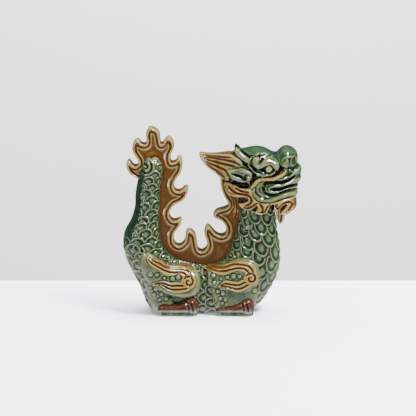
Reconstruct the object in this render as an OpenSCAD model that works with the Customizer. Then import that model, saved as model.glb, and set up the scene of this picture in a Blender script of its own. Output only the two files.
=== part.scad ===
// Standing dragon figurine in glazed stoneware, with an upright tail and a flame crest.
// X runs from the tail towards the nose, Y from the creature's right flank to its left, Z up.
// The origin is on the table, under the middle of the figure.

/* [Overall size] */
// Length from the swell of the tail to the upper lip
length = 141; // [110:1:180]
// Height from the table to the highest flame
height = 149; // [115:1:190]
// Depth across the haunches
depth = 47; // [40:1:60]

/* [Cast body] */
// Wall thickness of the two hollow body shells
wall = 4; // [3:0.5:6]
// Thickness of the slab that closes the belly
floor_t = 4; // [3:0.5:6]
// Bore of the vent hole in the slab
vent_d = 8; // [4:1:12]

/* [Crest and mane] */
// Thickness of the flame crest
crest_t = 14; // [8:1:18]
// Thickness of the mane plume
mane_t = 12; // [8:1:16]

/* [Ornament] */
// How far the scrolls stand proud of haunch and shoulder
scroll_relief = 2; // [1:0.25:3]
// How far the beard stands proud of jaw and neck
beard_relief = 3; // [1.5:0.25:4]
// How far the brow stands proud of the skull
brow_relief = 3; // [1.5:0.25:4]
// Width of the rolled band above the mouth
lip_w = 2.8; // [2:0.2:4]
// Diameter of an eyeball
eye_d = 7; // [5:0.5:9]
// Thickness of an ear at its thickest
ear_t = 8; // [6:0.5:10]
// Thickness of a horn
horn_t = 5; // [3:0.5:7]

/* [Hidden] */

green = "#4f6f52";
amber = "#a8743a";
brown = "#5f2f22";
buff = "#c9b89a";

// The outlines below are drawn for a figure of this size and scaled to the chosen one.
drawn = [141, 47, 149];
fit = [length / drawn.x, depth / drawn.y, height / drawn.z];
big = 4 * max(length, height);
squareness = 2.3;
ring_sides = 20;

// A section is [outer x, outer z, inner x, inner z, half depth, middle y].
body_sections = [
    [-49, 126.3, -46, 126.4, 2, 0],
    [-54, 123.4, -41, 124.6, 7.5, 0],
    [-56.6, 117.5, -37.8, 117.5, 11, 0],
    [-58.5, 106.5, -38.8, 107, 12.3, 0],
    [-60.4, 96, -40.2, 97, 13, 0],
    [-61, 85.5, -40.5, 87, 14, 0],
    [-64, 75, -41, 77.5, 15, 0],
    [-69.3, 65, -41.1, 67.5, 16.5, 0],
    [-70.5, 53.5, -39.2, 57, 17.5, 0],
    [-66.4, 39, -34.6, 49.4, 17.5, 0],
    [-57.6, 21, -27.5, 44.4, 17, 0],
    [-49, 1, -19.5, 41.4, 16.5, 0],
    [-32, -5, -11.5, 40, 16.5, 0],
    [-6, -6, -4, 40, 16.5, 0],
    [22, -4, 3, 41.2, 16.5, 0],
    [38, 6.5, 8.6, 44.6, 16.5, 0],
    [48.4, 22, 12.6, 50.6, 16.5, 0],
    [53.8, 37, 15.4, 58, 16, 0],
    [54, 53, 18.4, 66.5, 15.5, 0],
    [51.8, 66, 20.4, 75.5, 15, 0],
    [50.5, 79, 21.6, 84.5, 14.5, 0],
    [50, 90, 22.5, 94, 14, 0],
    [48, 100, 25, 104, 13, 0]
];
hollow_first = 3;
hollow_last = 19;

head_sections = [
    [18.5, 125, 18.5, 110, 6, 0],
    [22, 130.8, 22, 101, 11.5, 0],
    [30, 132.8, 30, 96.5, 15, 0],
    [38, 133, 38, 96.5, 17, 0],
    [46, 129.6, 46, 102.6, 17.5, 0],
    [54, 126.5, 54, 103.6, 16.5, 0],
    [62, 122.5, 62, 104.2, 14, 0],
    [68, 119.4, 68.4, 105, 10, 0],
    [70.5, 116, 70.5, 109.5, 5, 0]
];
nose_sections = [
    [51, 128, 51, 119, 5, 0],
    [55, 132.7, 55, 117, 9, 0],
    [60, 133.8, 60, 116.4, 11.5, 0],
    [64.4, 131.8, 64.4, 117, 10.5, 0],
    [67.4, 126.4, 67.4, 121, 5, 0]
];
jaw_sections = [
    [35, 99, 35, 91, 13, 0],
    [46, 101.4, 46, 89.5, 16, 0],
    [54, 102, 54, 90.5, 15, 0],
    [62, 102.6, 62, 92.5, 12.5, 0],
    [67.2, 101.6, 67.2, 95, 7, 0]
];
chin_sections = [
    [40, 80, 40, 98, 15, 0],
    [50, 80, 50, 98, 15, 0],
    [60, 83, 60, 98, 13, 0],
    [66.4, 88, 66.4, 97, 8, 0]
];
tuft_sections = [
    [48, 88, 60, 88, 7, 0],
    [50, 81, 58.6, 81, 6.5, 0],
    [51.5, 75, 57.4, 75, 5, 0],
    [53, 71.2, 55.4, 71.2, 3, 0]
];
horn_sections = [
    [29, 124.6, 26.6, 121.6, 0.3, -11],
    [24.4, 128.2, 21, 125.4, 0.5, -11.5],
    [20.2, 131.6, 17.6, 129.6, 0.42, -11],
    [18.4, 135.4, 16.8, 135.2, 0.2, -10]
];
hind_foot_sections = [
    [-43, 6, -43, -4, 4, -15.5],
    [-39, 10.5, -39, -6, 7, -15.7],
    [-28, 12, -28, -6, 8, -15.5],
    [-17, 15, -17, -6, 8.2, -15.3],
    [-11.6, 9, -11.6, -5, 5.5, -14.5],
    [-10.3, 4, -10.3, -3, 3, -14.5]
];
fore_foot_sections = [
    [4.6, 5.5, 4.6, -4, 4, -15],
    [9, 9, 9, -6, 6.6, -15.4],
    [18, 11.5, 18, -6, 7.6, -15.5],
    [27.5, 14, 27.5, -6, 7.8, -15.2],
    [32, 9, 32, -5, 5.2, -14.5],
    [33.4, 4, 33.4, -3, 3, -14.5]
];
shin_sections = [
    [-52, 30, -26, 26, 8, -13],
    [-48.5, 17, -29, 15, 7.5, -13.5],
    [-43, 5, -32, 4, 6, -14]
];
forearm_sections = [
    [4, 27, 34, 27, 8, -12.5],
    [8, 16, 31, 17, 7.5, -13],
    [11, 5, 28, 5, 6, -14]
];

// Ellipsoids that swell the flank, as [middle], [half lengths].
haunch_swell = [[-33.5, -11.5, 35], [23, 10, 20]];
shoulder_swell = [[18.5, -11.5, 31], [18.5, 10, 15.5]];

// The crest's edge: the stretch between each two flame tips, tips included.
crest_edge = [
    [[-58.4, 107.9], [-64.6, 112], [-67.3, 118], [-65.8, 123.3]],
    [[-65.8, 123.3], [-62.4, 118.9], [-58.3, 119.2], [-58.6, 123.8], [-62.5, 131.5], [-57.6, 139.5]],
    [[-57.6, 139.5], [-54.2, 135.5], [-51.3, 138], [-51.6, 143.6], [-48.2, 149]],
    [[-48.2, 149], [-42, 145], [-40.6, 137.6], [-38.8, 135.8], [-34.2, 141.4]],
    [[-34.2, 141.4], [-30, 136], [-32.5, 126.5], [-31.2, 121.1], [-25.8, 125.8]],
    [[-25.8, 125.8], [-23.4, 118.5], [-29.4, 105], [-28.2, 98.4], [-19.3, 102.4]],
    [[-19.3, 102.4], [-21.5, 92.2], [-30.5, 86.2], [-33.4, 77.8], [-29.4, 74.3], [-23.8, 76.3]],
    [[-23.8, 76.3], [-26.6, 68.2], [-30.5, 60.5], [-27.6, 54.1], [-21.8, 57.6], [-20, 66.8]],
    [[-20, 66.8], [-13.4, 62.8], [-11.6, 53.5], [-8, 49.4], [-3.8, 54], [-6, 64.5], [-3.6, 70.7]],
    [[-3.6, 70.7], [4, 63], [10.4, 63.6], [10.2, 71], [0.9, 77.8]],
    [[0.9, 77.8], [4.6, 83], [12.3, 85.6], [9.6, 94], [7, 104], [6.2, 109.4]]
];
// Back through the inside of the neck, belly and tail.
crest_root = [[30, 109.4], [30, 80], [24, 52], [10, 34], [-8, 30], [-30, 34], [-46, 48], [-50, 75], [-50, 107.9]];
mane_edge = [
    [[6.2, 109.4], [1, 113.6], [-5.4, 118.4], [-10.5, 128.8]],
    [[-10.5, 128.8], [-3, 127.6], [6, 127.4], [16, 127.6], [30, 127.6]]
];
mane_root = [[30, 109.4]];

brow_edge = [[50.3, 116.5], [52.2, 120.5], [49.8, 125], [45, 127.2], [41, 125.4], [37, 121.6],
    [35.6, 122.4], [36.2, 126.2], [32.6, 126.6], [31, 123.4], [32.8, 119.4], [36.6, 118], [41, 119.8], [45.6, 120.8]];
// The point of the brow's lower edge that the eyeball is tucked under, and by how much.
brow_rest = [43.6, 120.7];
eye_tuck = 0.9;
ear_edge = [[12, 116.2], [18, 117.3], [24, 118], [30.4, 115], [30.8, 111.4], [28.4, 108.4],
    [24, 106.9], [19, 108.2], [14.4, 112]];
lip_path = [[30.4, 103.2], [33.6, 106.8], [38.4, 109.7], [45, 110], [51, 111.2], [56.4, 115]];
beard_tips = [
    [[9.2, 105.6], [12.7, 96.8], [22, 95.4], [27.8, 93.8], [20.4, 90.3]],
    [[20.4, 90.3], [26, 85.8], [31.8, 87], [35.2, 88], [33, 83.5]],
    [[33, 83.5], [40, 82.2], [44.2, 87.4], [48.4, 88.8], [47, 84.1]],
    [[47, 84.1], [52.6, 81.6], [58.6, 81.4], [66.6, 85.6], [66.4, 95.4]]
];
beard_top = [[57, 96.4], [44, 93.4], [36.4, 94.4], [30.6, 98.6], [22.2, 101.4], [13.6, 105.6]];
// Where the beard's upper strand leaves the neck and lies on the crest.
beard_nape = [[8, 92], [25, 92], [25, 107], [8, 107]];

hind_upper = [[-54.8, 55.5], [-49.4, 49.9], [-39.8, 44.6], [-30, 40.6], [-18.4, 39], [-13.8, 33], [-14.2, 26], [-18.6, 22.6]];
hind_lower = [[-23.2, 26], [-22.6, 31.6], [-28, 34.4], [-36, 34.2], [-46, 40.8], [-51.6, 49.2]];
hind_tail_top = [[-47.4, 27.4], [-38, 29.4], [-30, 27.7], [-20, 27.4]];
hind_tail_low = [[-17, 22.6], [-23.4, 20.5], [-32.4, 20.4], [-40.4, 26]];
fore_upper = [[-8.6, 38.2], [1.2, 39.4], [11.6, 41.4], [20, 45.1], [30.4, 44], [35.4, 36], [35.4, 29], [31.6, 25.8]];
fore_lower = [[26.4, 29.4], [26.6, 34.8], [20.6, 37.6], [13, 35], [6, 34]];
fore_tail_top = [[5.2, 24.3], [11, 29.3], [20, 28.4], [29, 30]];
fore_tail_low = [[32, 26], [25.5, 22], [18.6, 20.6], [10.4, 23.6]];

// ---- Curves and lofts ----

function along(a, b, c, d, t) =
    0.5 * (2 * b + (c - a) * t + (2 * a - 5 * b + 4 * c - d) * t * t + (3 * b - a - 3 * c + d) * t * t * t);

// A smooth open curve through the points, with k steps between each two; the last point is left out.
function curve(p, k) = [
    for (i = [0:len(p) - 2], j = [0:k - 1])
        along(p[max(i - 1, 0)], p[i], p[i + 1], p[min(i + 2, len(p) - 1)], j / k)
];
function through(p, k) = concat(curve(p, k), [p[len(p) - 1]]);

// A smooth closed curve through the points.
function loop(p, k) = let (n = len(p)) [
    for (i = [0:n - 1], j = [0:k - 1])
        along(p[(i + n - 1) % n], p[i], p[(i + 1) % n], p[(i + 2) % n], j / k)
];
function pointed(stretches, k) = [for (s = stretches, p = curve(s, k)) p];
function part_of(list, a, b) = [for (i = [a:b]) list[i]];
function backwards(list) = [for (i = [len(list) - 1:-1:0]) list[i]];
function bent(v) = sign(v) * pow(abs(v), 2 / squareness);

// A band of even width along a path.
function normal(p, i) =
    let (d = p[min(i + 1, len(p) - 1)] - p[max(i - 1, 0)]) [-d.y, d.x] / norm(d);
function band(p, w) = concat(
    [for (i = [0:len(p) - 1]) p[i] + normal(p, i) * w / 2],
    [for (i = [len(p) - 1:-1:0]) p[i] - normal(p, i) * w / 2]
);

function section_ring(s, grow) = let (
    a = [s[0] * fit.x, s[1] * fit.z],
    b = [s[2] * fit.x, s[3] * fit.z],
    middle = (a + b) / 2,
    half = norm(a - b) / 2,
    out = (a - b) / (2 * half)
) [
    for (i = [0:ring_sides - 1]) let (
        turn = i * 360 / ring_sides,
        r = (half + grow) * bent(cos(turn)),
        y = s[5] * fit.y + (s[4] * fit.y + grow) * bent(sin(turn))
    ) [middle.x + out.x * r, y, middle.y + out.y * r]
];

// Whether the sections advance so that outer, inner and +Y turn the other way round.
function turned(s) = let (
    on = [s[1][0] + s[1][2] - s[0][0] - s[0][2], s[1][1] + s[1][3] - s[0][1] - s[0][3]],
    out = [s[0][0] - s[0][2], s[0][1] - s[0][3]]
) on.y * out.x - on.x * out.y > 0;

module loft(sections, grow = 0, k = 2) {
    rings = through(sections, k);
    n = ring_sides;
    m = len(rings);
    points = [for (s = rings, p = section_ring(s, grow)) p];
    sides = [
        for (i = [0:m - 2], j = [0:n - 1])
            [i * n + j, i * n + (j + 1) % n, (i + 1) * n + (j + 1) % n, (i + 1) * n + j]
    ];
    first = [for (j = [n - 1:-1:0]) j];
    last = [for (j = [0:n - 1]) (m - 1) * n + j];
    faces = concat(sides, [first, last]);
    polyhedron(points, turned(sections) ? [for (f = faces) backwards(f)] : faces);
}

// An outline drawn in X and Z, made y0 to y1 thick.
module slab(outline, y0, y1) {
    translate([0, y1, 0])
        rotate([90, 0, 0])
            linear_extrude(y1 - y0)
                scale([fit.x, fit.z])
                    polygon(outline);
}

module swell(s, grow = 0) {
    half = [for (i = [0:2]) s[1][i] * fit[i] + grow];
    translate([for (i = [0:2]) s[0][i] * fit[i]])
        scale(half)
            sphere(1, $fn = 24);
}

module above(z) {
    translate([-big / 2, -big / 2, z])
        cube(big);
}
module right_half() {
    translate([-big / 2, -big, -big / 2])
        cube(big);
}

// Closed meshes are combined in one pass.
module sculpted() {
    resize([0, 0, 0])
        intersection() {
            children();
            above(0);
        }
}
module on_left() {
    mirror([0, 1, 0])
        children();
}

// ---- Forms that several pieces are cut to ----

module body_form(grow = 0) loft(body_sections, grow);
module head_form(grow = 0) loft(head_sections, grow);
module nose_form(grow = 0) loft(nose_sections, grow);
module jaw_form(grow = 0) loft(jaw_sections, grow);
module haunch_form(grow = 0) {
    swell(haunch_swell, grow);
    loft(shin_sections, grow);
}
module shoulder_form(grow = 0) {
    swell(shoulder_swell, grow);
    loft(forearm_sections, grow);
}
module flank(grow = 0) {
    body_form(grow);
    haunch_form(grow);
    shoulder_form(grow);
}
module face(grow = 0) {
    head_form(grow);
    jaw_form(grow);
    body_form(grow);
}
module crest_form() {
    slab(concat(pointed(crest_edge, 3), crest_root), -crest_t / 2, crest_t / 2);
}
module mane_form() {
    slab(concat(pointed(mane_edge, 3), mane_root), -mane_t / 2, mane_t / 2);
}
module ear_form() {
    slab(loop(ear_edge, 2), -mane_t / 2 - ear_t, -mane_t / 2);
}
module lip_band_form() {
    intersection() {
        head_form(brow_relief);
        slab(band(through(lip_path, 2), lip_w), -depth, 0);
    }
}
module floor_plate() {
    linear_extrude(floor_t)
        polygon([
            for (turn = [0:7.5:352.5])
                [(-6.5 + 37 * bent(cos(turn))) * fit.x, 13 * fit.y * bent(sin(turn))]
        ]);
}

// ---- Pieces ----

module body_shell() {
    color(green)
        sculpted()
            difference() {
                intersection() {
                    body_form();
                    right_half();
                    above(floor_t);
                }
                loft(part_of(body_sections, hollow_first, hollow_last), -wall);
            }
}

module belly_floor() {
    color(buff)
        difference() {
            floor_plate();
            translate([0, 0, -1])
                cylinder(h = floor_t + 2, d = vent_d, $fn = 48);
        }
}

module flame_crest() {
    color(amber)
        sculpted()
            difference() {
                crest_form();
                body_form();
                head_form();
                mane_form();
            }
}

module mane_plume() {
    color(amber)
        sculpted()
            difference() {
                mane_form();
                body_form();
                head_form();
            }
}

module head() {
    color(green)
        sculpted()
            difference() {
                head_form();
                body_form();
            }
}

module nose() {
    color(green)
        sculpted()
            difference() {
                nose_form();
                head_form();
            }
}

module lower_jaw() {
    color(green)
        sculpted()
            difference() {
                jaw_form();
                head_form();
                body_form();
            }
}

module chin_tuft() {
    color(amber)
        sculpted()
            difference() {
                loft(tuft_sections);
                face();
                for (s = [0, 1])
                    mirror([0, s, 0])
                        beard_form();
            }
}

module brow() {
    color(green)
        sculpted()
            difference() {
                intersection() {
                    head_form(brow_relief);
                    slab(loop(brow_edge, 2), -depth, 0);
                }
                head_form();
                nose_form();
            }
}

module eye() {
    color(amber)
        sculpted()
            difference() {
                translate([brow_rest.x * fit.x, -17 * fit.y, brow_rest.y * fit.z - eye_d / 2 + eye_tuck])
                    sphere(d = eye_d, $fn = 24);
                head_form();
                slab(loop(brow_edge, 2), -depth, 0);
            }
}

module horn() {
    color(green)
        sculpted()
            difference() {
                loft([for (s = horn_sections) [s[0], s[1], s[2], s[3], s[4] * horn_t / fit.y, s[5]]]);
                head_form();
                mane_form();
            }
}

module ear() {
    color(green)
        sculpted()
            difference() {
                ear_form();
                face();
                crest_form();
            }
}

module lip_band() {
    color(amber)
        sculpted()
            difference() {
                lip_band_form();
                face();
                ear_form();
            }
}

module beard_form() {
    intersection() {
        union() {
            face(beard_relief);
            loft(chin_sections);
            slab(beard_nape, -crest_t / 2 - beard_relief, 0);
        }
        slab(concat(pointed(beard_tips, 3), beard_top), -depth, 0);
    }
}

module beard() {
    color(amber)
        sculpted()
            difference() {
                beard_form();
                face();
                ear_form();
                lip_band_form();
                crest_form();
            }
}

module haunch() {
    color(green)
        sculpted()
            difference() {
                haunch_form();
                body_form();
                crest_form();
                floor_plate();
                loft(hind_foot_sections);
            }
}

module shoulder() {
    color(green)
        sculpted()
            difference() {
                shoulder_form();
                body_form();
                crest_form();
                floor_plate();
                loft(fore_foot_sections);
            }
}

module foot(sections) {
    color(brown)
        sculpted()
            difference() {
                loft(sections);
                body_form();
                floor_plate();
            }
}

module scroll(outlines) {
    color(amber)
        sculpted()
            difference() {
                intersection() {
                    flank(scroll_relief);
                    union() {
                        for (o = outlines)
                            slab(o, -depth, 0);
                    }
                }
                flank();
                crest_form();
            }
}
module hind_scroll() {
    scroll([
        concat(through(hind_upper, 2), through(hind_lower, 2)),
        concat(through(hind_tail_top, 2), through(hind_tail_low, 2))
    ]);
}
module fore_scroll() {
    scroll([
        concat(through(fore_upper, 2), through(fore_lower, 2)),
        concat(through(fore_tail_top, 2), through(fore_tail_low, 2))
    ]);
}

body_shell();  // body_right_shell
on_left() body_shell();  // body_left_shell
belly_floor();
flame_crest();
mane_plume();
head();
nose();
lower_jaw();
chin_tuft();
brow();  // brow_right
on_left() brow();  // brow_left
eye();  // eye_right
on_left() eye();  // eye_left
horn();  // horn_right
on_left() horn();  // horn_left
ear();  // ear_right
on_left() ear();  // ear_left
lip_band();  // lip_band_right
on_left() lip_band();  // lip_band_left
beard();  // beard_right
on_left() beard();  // beard_left
haunch();  // haunch_right
on_left() haunch();  // haunch_left
shoulder();  // shoulder_right
on_left() shoulder();  // shoulder_left
foot(hind_foot_sections);  // hind_foot_right
on_left() foot(hind_foot_sections);  // hind_foot_left
foot(fore_foot_sections);  // fore_foot_right
on_left() foot(fore_foot_sections);  // fore_foot_left
hind_scroll();  // hind_scroll_right
on_left() hind_scroll();  // hind_scroll_left
fore_scroll();  // fore_scroll_right
on_left() fore_scroll();  // fore_scroll_left
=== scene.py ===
import math
from functools import lru_cache

import bpy
import numpy as np
from bpy.props import FloatProperty, FloatVectorProperty, PointerProperty
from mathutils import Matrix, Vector


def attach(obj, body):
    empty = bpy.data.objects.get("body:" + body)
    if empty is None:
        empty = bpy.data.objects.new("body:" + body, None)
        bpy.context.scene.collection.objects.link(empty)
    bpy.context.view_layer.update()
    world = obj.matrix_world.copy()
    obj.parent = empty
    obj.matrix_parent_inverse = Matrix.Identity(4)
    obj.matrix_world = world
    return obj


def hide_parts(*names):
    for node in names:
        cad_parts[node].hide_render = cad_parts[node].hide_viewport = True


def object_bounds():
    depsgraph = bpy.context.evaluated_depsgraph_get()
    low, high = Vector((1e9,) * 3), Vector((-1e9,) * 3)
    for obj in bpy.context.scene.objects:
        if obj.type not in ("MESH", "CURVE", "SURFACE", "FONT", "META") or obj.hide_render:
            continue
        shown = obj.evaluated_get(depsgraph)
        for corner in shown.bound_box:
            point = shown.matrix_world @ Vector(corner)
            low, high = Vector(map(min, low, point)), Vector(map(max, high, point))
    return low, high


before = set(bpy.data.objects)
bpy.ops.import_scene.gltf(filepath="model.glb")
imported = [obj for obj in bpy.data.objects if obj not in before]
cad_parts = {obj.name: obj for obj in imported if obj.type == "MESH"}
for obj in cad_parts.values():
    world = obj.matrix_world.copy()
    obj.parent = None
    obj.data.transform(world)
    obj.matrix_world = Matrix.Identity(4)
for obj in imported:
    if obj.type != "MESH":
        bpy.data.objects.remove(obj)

bl_info = {
    "name": "Glazed Dragon Figurine",
    "version": (1, 0, 0),
    "blender": (4, 5, 0),
    "location": "View3D > Sidebar > Dragon",
    "description": "Builds a slip-cast, lead-glazed dragon figurine piece by piece",
    "category": "Add Mesh",
}

# Lengths are in millimetres until a mesh is made. The figure is symmetric about Y = 0: a casting
# from a two-part mould, so each flank is a height over the plane of X and Z.
MM = 0.001
BOX_Y = 23.7  # a skin is looked for up to here, just inside the casting's half depth
SQUARENESS = 2.3  # exponent of the body's oval sections; 2 would make ellipses
CAD_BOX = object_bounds()
PITCH = 0.25
CELL = 0.42
X_LINE = np.arange(-76.0, 77.0, PITCH)
Z_LINE = np.arange(-5.0, 155.0, PITCH)
PLAN_X, PLAN_Z = np.meshgrid(X_LINE, Z_LINE, indexing="ij")


# ---- Outlines of the figure, as [x, z] ----

# The casting's sections: [outer x, outer z, inner x, inner z, half depth].
BODY_SECTIONS = [
    [-49, 126.3, -46, 126.4, 2],
    [-54, 123.4, -41, 124.6, 7.5],
    [-56.6, 117.5, -37.8, 117.5, 11],
    [-58.5, 106.5, -38.8, 107, 12.3],
    [-60.4, 96, -40.2, 97, 13],
    [-61, 85.5, -40.5, 87, 14],
    [-64, 75, -41, 77.5, 15],
    [-69.3, 65, -41.1, 67.5, 16.5],
    [-70.5, 53.5, -39.2, 57, 17.5],
    [-66.4, 39, -34.6, 49.4, 17.5],
    [-57.6, 21, -27.5, 44.4, 17],
    [-49, 1, -19.5, 41.4, 16.5],
    [-32, -5, -11.5, 40, 16.5],
    [-6, -6, -4, 40, 16.5],
    [22, -4, 3, 41.2, 16.5],
    [38, 6.5, 8.6, 44.6, 16.5],
    [48.4, 22, 12.6, 50.6, 16.5],
    [53.8, 37, 15.4, 58, 16],
    [54, 53, 18.4, 66.5, 15.5],
    [51.8, 66, 20.4, 75.5, 15],
    [50.5, 79, 21.6, 84.5, 14.5],
    [50, 90, 22.5, 94, 14],
    [48, 100, 25, 104, 13],
]
# The crest's free edge, from the back of the tail's tip round the inside of the U to the nape.
CREST_EDGE = [
    [-58.4, 107.9], [-62.3, 110.2], [-65.3, 112.9], [-67.1, 116.9], [-67.1, 119.9], [-65.8, 123.1],
    [-64.1, 121.7], [-62.1, 118.9], [-60.3, 118], [-57.5, 119.9], [-58.2, 123], [-59.7, 125.3],
    [-61.5, 128.3], [-62.5, 131.3], [-62.2, 134], [-61.2, 137], [-59.2, 139.1], [-57.4, 139.4],
    [-55.8, 136.6], [-53.7, 135.5], [-51.5, 136.1], [-51.3, 138.6], [-51.5, 140.9], [-51.7, 143.6],
    [-50.6, 146], [-49.3, 148.4], [-47.8, 148.9], [-45.4, 147.9], [-42.9, 146], [-41, 143.6],
    [-40.9, 140.4], [-40, 135.9], [-38.7, 135.9], [-37, 138.6], [-35.2, 140.8], [-34, 141.3],
    [-32.3, 139.9], [-30.8, 137.8], [-29.8, 134.8], [-30.2, 131.8], [-31.7, 128.7], [-32.6, 126.1],
    [-32.4, 121.5], [-30.7, 121.1], [-28.5, 122.1], [-25.8, 125.8], [-24.3, 124.1], [-23.4, 120.8],
    [-23.6, 116.9], [-24.7, 113], [-26.9, 109.6], [-28.8, 106.5], [-29.7, 104.3], [-30.1, 101.7],
    [-29, 99.1], [-27, 98.1], [-24.4, 98.6], [-21.8, 100.8], [-19.4, 102.3], [-18.9, 99.9], [-19.4, 96.4],
    [-20.9, 92.9], [-23.5, 90.3], [-26.5, 88.5], [-28.8, 87.6], [-31.4, 85.1], [-33.2, 81.7],
    [-33.7, 78.1], [-32.1, 75.4], [-30.1, 74.4], [-27.6, 74.9], [-24.1, 76.2], [-24.1, 73.9],
    [-25.6, 69.7], [-28.2, 66.6], [-30, 63.5], [-30.5, 60.3], [-30.2, 57.2], [-28.2, 54.5], [-25.9, 54],
    [-23.1, 55.7], [-21.5, 58.2], [-20.8, 61.9], [-20.3, 65.5], [-18.2, 66.7], [-15.4, 65.3],
    [-13.1, 62.4], [-12.3, 58.2], [-11.8, 54.5], [-11.3, 52], [-9.9, 49.8], [-7.3, 49.6], [-4.7, 51.5],
    [-3.7, 54.5], [-4.4, 58.2], [-5.7, 62.4], [-6, 65.5], [-5, 68.7], [-3.4, 70.5], [-0.7, 68.2],
    [1.8, 65], [4.4, 63], [7.4, 62.1], [10, 63], [11, 64.5], [11.3, 67.7], [10.3, 70.7], [8, 73.7],
    [4.9, 75.4], [1.8, 76.7], [1.1, 78.3], [1.8, 80.6], [4.4, 82.8], [8, 83.8], [11, 84.8], [12.8, 86.4],
    [12.7, 88.4], [11.4, 91], [9.7, 93.6], [8.2, 97.3], [7.2, 100.8], [6.8, 105.3], [6.1, 109.6],
]
# Where the crest is hidden inside the body.
CREST_ROOT = [[30.0, 109.4], [30.0, 80.0], [24.0, 52.0], [10.0, 34.0], [-8.0, 30.0],
              [-30.0, 34.0], [-46.0, 48.0], [-50.0, 75.0], [-50.0, 107.9]]


# ---- Curves and the plan ----


def curve(points, steps=8, closed=False):
    """A smooth line through the points: a Catmull-Rom spline."""
    p = np.array(points, float)
    n = len(p)
    spans = n if closed else n - 1
    out = []
    for i in range(spans):
        if closed:
            a, b, c, d = (p[(i + k) % n] for k in (-1, 0, 1, 2))
        else:
            a, b, c, d = p[max(i - 1, 0)], p[i], p[i + 1], p[min(i + 2, n - 1)]
        for t in np.arange(steps) / steps:
            out.append(0.5 * (2 * b + (c - a) * t + (2 * a - 5 * b + 4 * c - d) * t * t
                              + (3 * b - a - 3 * c + d) * t ** 3))
    out.append(out[0] if closed else p[-1])
    return np.array(out)


def pointed(stretches, steps=8):
    """Smooth stretches that meet in sharp tips."""
    return np.concatenate([curve(s, steps)[:-1] for s in stretches] + [[stretches[-1][-1]]])


def trace(path, reach):
    """How far each plan point is from the path, up to reach, and how far along the path, from 0 to 1."""
    near = np.full(PLAN_X.shape, float(reach))
    along = np.zeros(PLAN_X.shape)
    path = np.asarray(path, float)
    lengths = np.linalg.norm(np.diff(path, axis=0), axis=1)
    starts = np.concatenate([[0], np.cumsum(lengths)])
    for a, b, start, length in zip(path[:-1], path[1:], starts, lengths):
        if length < 1e-9:
            continue
        lo, hi = np.minimum(a, b) - reach, np.maximum(a, b) + reach
        i = slice(max(int((lo[0] - X_LINE[0]) / PITCH), 0), max(int((hi[0] - X_LINE[0]) / PITCH) + 2, 0))
        k = slice(max(int((lo[1] - Z_LINE[0]) / PITCH), 0), max(int((hi[1] - Z_LINE[0]) / PITCH) + 2, 0))
        px, pz = PLAN_X[i, k] - a[0], PLAN_Z[i, k] - a[1]
        d = (b - a) / length
        t = np.clip(px * d[0] + pz * d[1], 0, length)
        gap = np.hypot(px - t * d[0], pz - t * d[1])
        closer = gap < near[i, k]
        near[i, k] = np.where(closer, gap, near[i, k])
        along[i, k] = np.where(closer, (start + t) / starts[-1], along[i, k])
    return near, along


def within(path):
    """Whether each plan point is inside the closed path."""
    path = np.asarray(path, float)
    inside = np.zeros(PLAN_X.shape, bool)
    for a, b in zip(path, np.roll(path, -1, axis=0)):
        if a[1] == b[1]:
            continue
        crossed = (Z_LINE >= min(a[1], b[1])) & (Z_LINE < max(a[1], b[1]))
        x = a[0] + (b[0] - a[0]) * (Z_LINE[crossed] - a[1]) / (b[1] - a[1])
        inside[:, crossed] ^= X_LINE[:, None] < x[None, :]
    return inside


def depth_inside(path, reach=20.0):
    """Distance to a closed outline: positive inside it, negative outside."""
    closed = np.concatenate([path, path[:1]])
    near, _ = trace(closed, reach)
    return np.where(within(path), near, -near)


def blurred(plan, size):
    """A Gaussian blur with a standard deviation of size millimetres."""
    half = max(int(3 * size / PITCH), 1)
    weights = np.exp(-0.5 * (np.arange(-half, half + 1) * PITCH / size) ** 2)
    weights /= weights.sum()
    for axis in (0, 1):
        padded = np.pad(plan, [(half, half) if a == axis else (0, 0) for a in (0, 1)], mode="edge")
        length = plan.shape[axis]
        plan = sum(w * np.take(padded, range(i, i + length), axis=axis) for i, w in enumerate(weights))
    return plan


def sample(plan, x, z):
    """The plan's value at any x and z, blended between the four nearest points."""
    i = np.clip((x - X_LINE[0]) / PITCH, 0, len(X_LINE) - 1.001)
    k = np.clip((z - Z_LINE[0]) / PITCH, 0, len(Z_LINE) - 1.001)
    i0, k0 = i.astype(int), k.astype(int)
    i, k = i - i0, k - k0
    low = plan[i0, k0] * (1 - i) + plan[i0 + 1, k0] * i
    high = plan[i0, k0 + 1] * (1 - i) + plan[i0 + 1, k0 + 1] * i
    return low * (1 - k) + high * k


def blunted(inside):
    """The same outline with its sharp tips rounded over."""
    return blurred(inside, 0.75)


def rounded(distance, radius):
    """A quarter-round rise from 0 at the edge to 1, over radius."""
    t = 1 - np.clip(distance / radius, 0, 1)
    return np.sqrt(np.clip(1 - t * t, 0, 1))


def smooth_step(a, b, t):
    """0 up to a and 1 from b on, with an even turn between; a may be the larger."""
    t = np.clip((t - a) / (b - a), 0, 1)
    return t * t * (3 - 2 * t)


def smooth_max(a, b, blend):
    """The larger of two values, rounded over where they cross."""
    h = np.clip(0.5 + 0.5 * (a - b) / blend, 0, 1)
    return b + (a - b) * h + blend * h * (1 - h)


def stroke(points, width, height, taper=0.15, steps=8):
    """A raised line, or a groove if height is negative: width is from its middle to its edge."""
    near, along = trace(curve(points, steps), width)
    half = np.full(near.shape, float(width))
    if taper:
        half = width * np.sqrt(np.clip(np.minimum(along, 1 - along) / taper, 0.02, 1))
    return height * np.clip(1 - (near / half) ** 2, 0, 1)


def pearl(x, z, radius, height):
    """A round bead of clay."""
    d = np.hypot(PLAN_X - x, PLAN_Z - z) / radius
    return height * np.sqrt(np.clip(1 - d * d, 0, 1))


# ---- Skins: closed meshes around a solid ----


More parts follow.
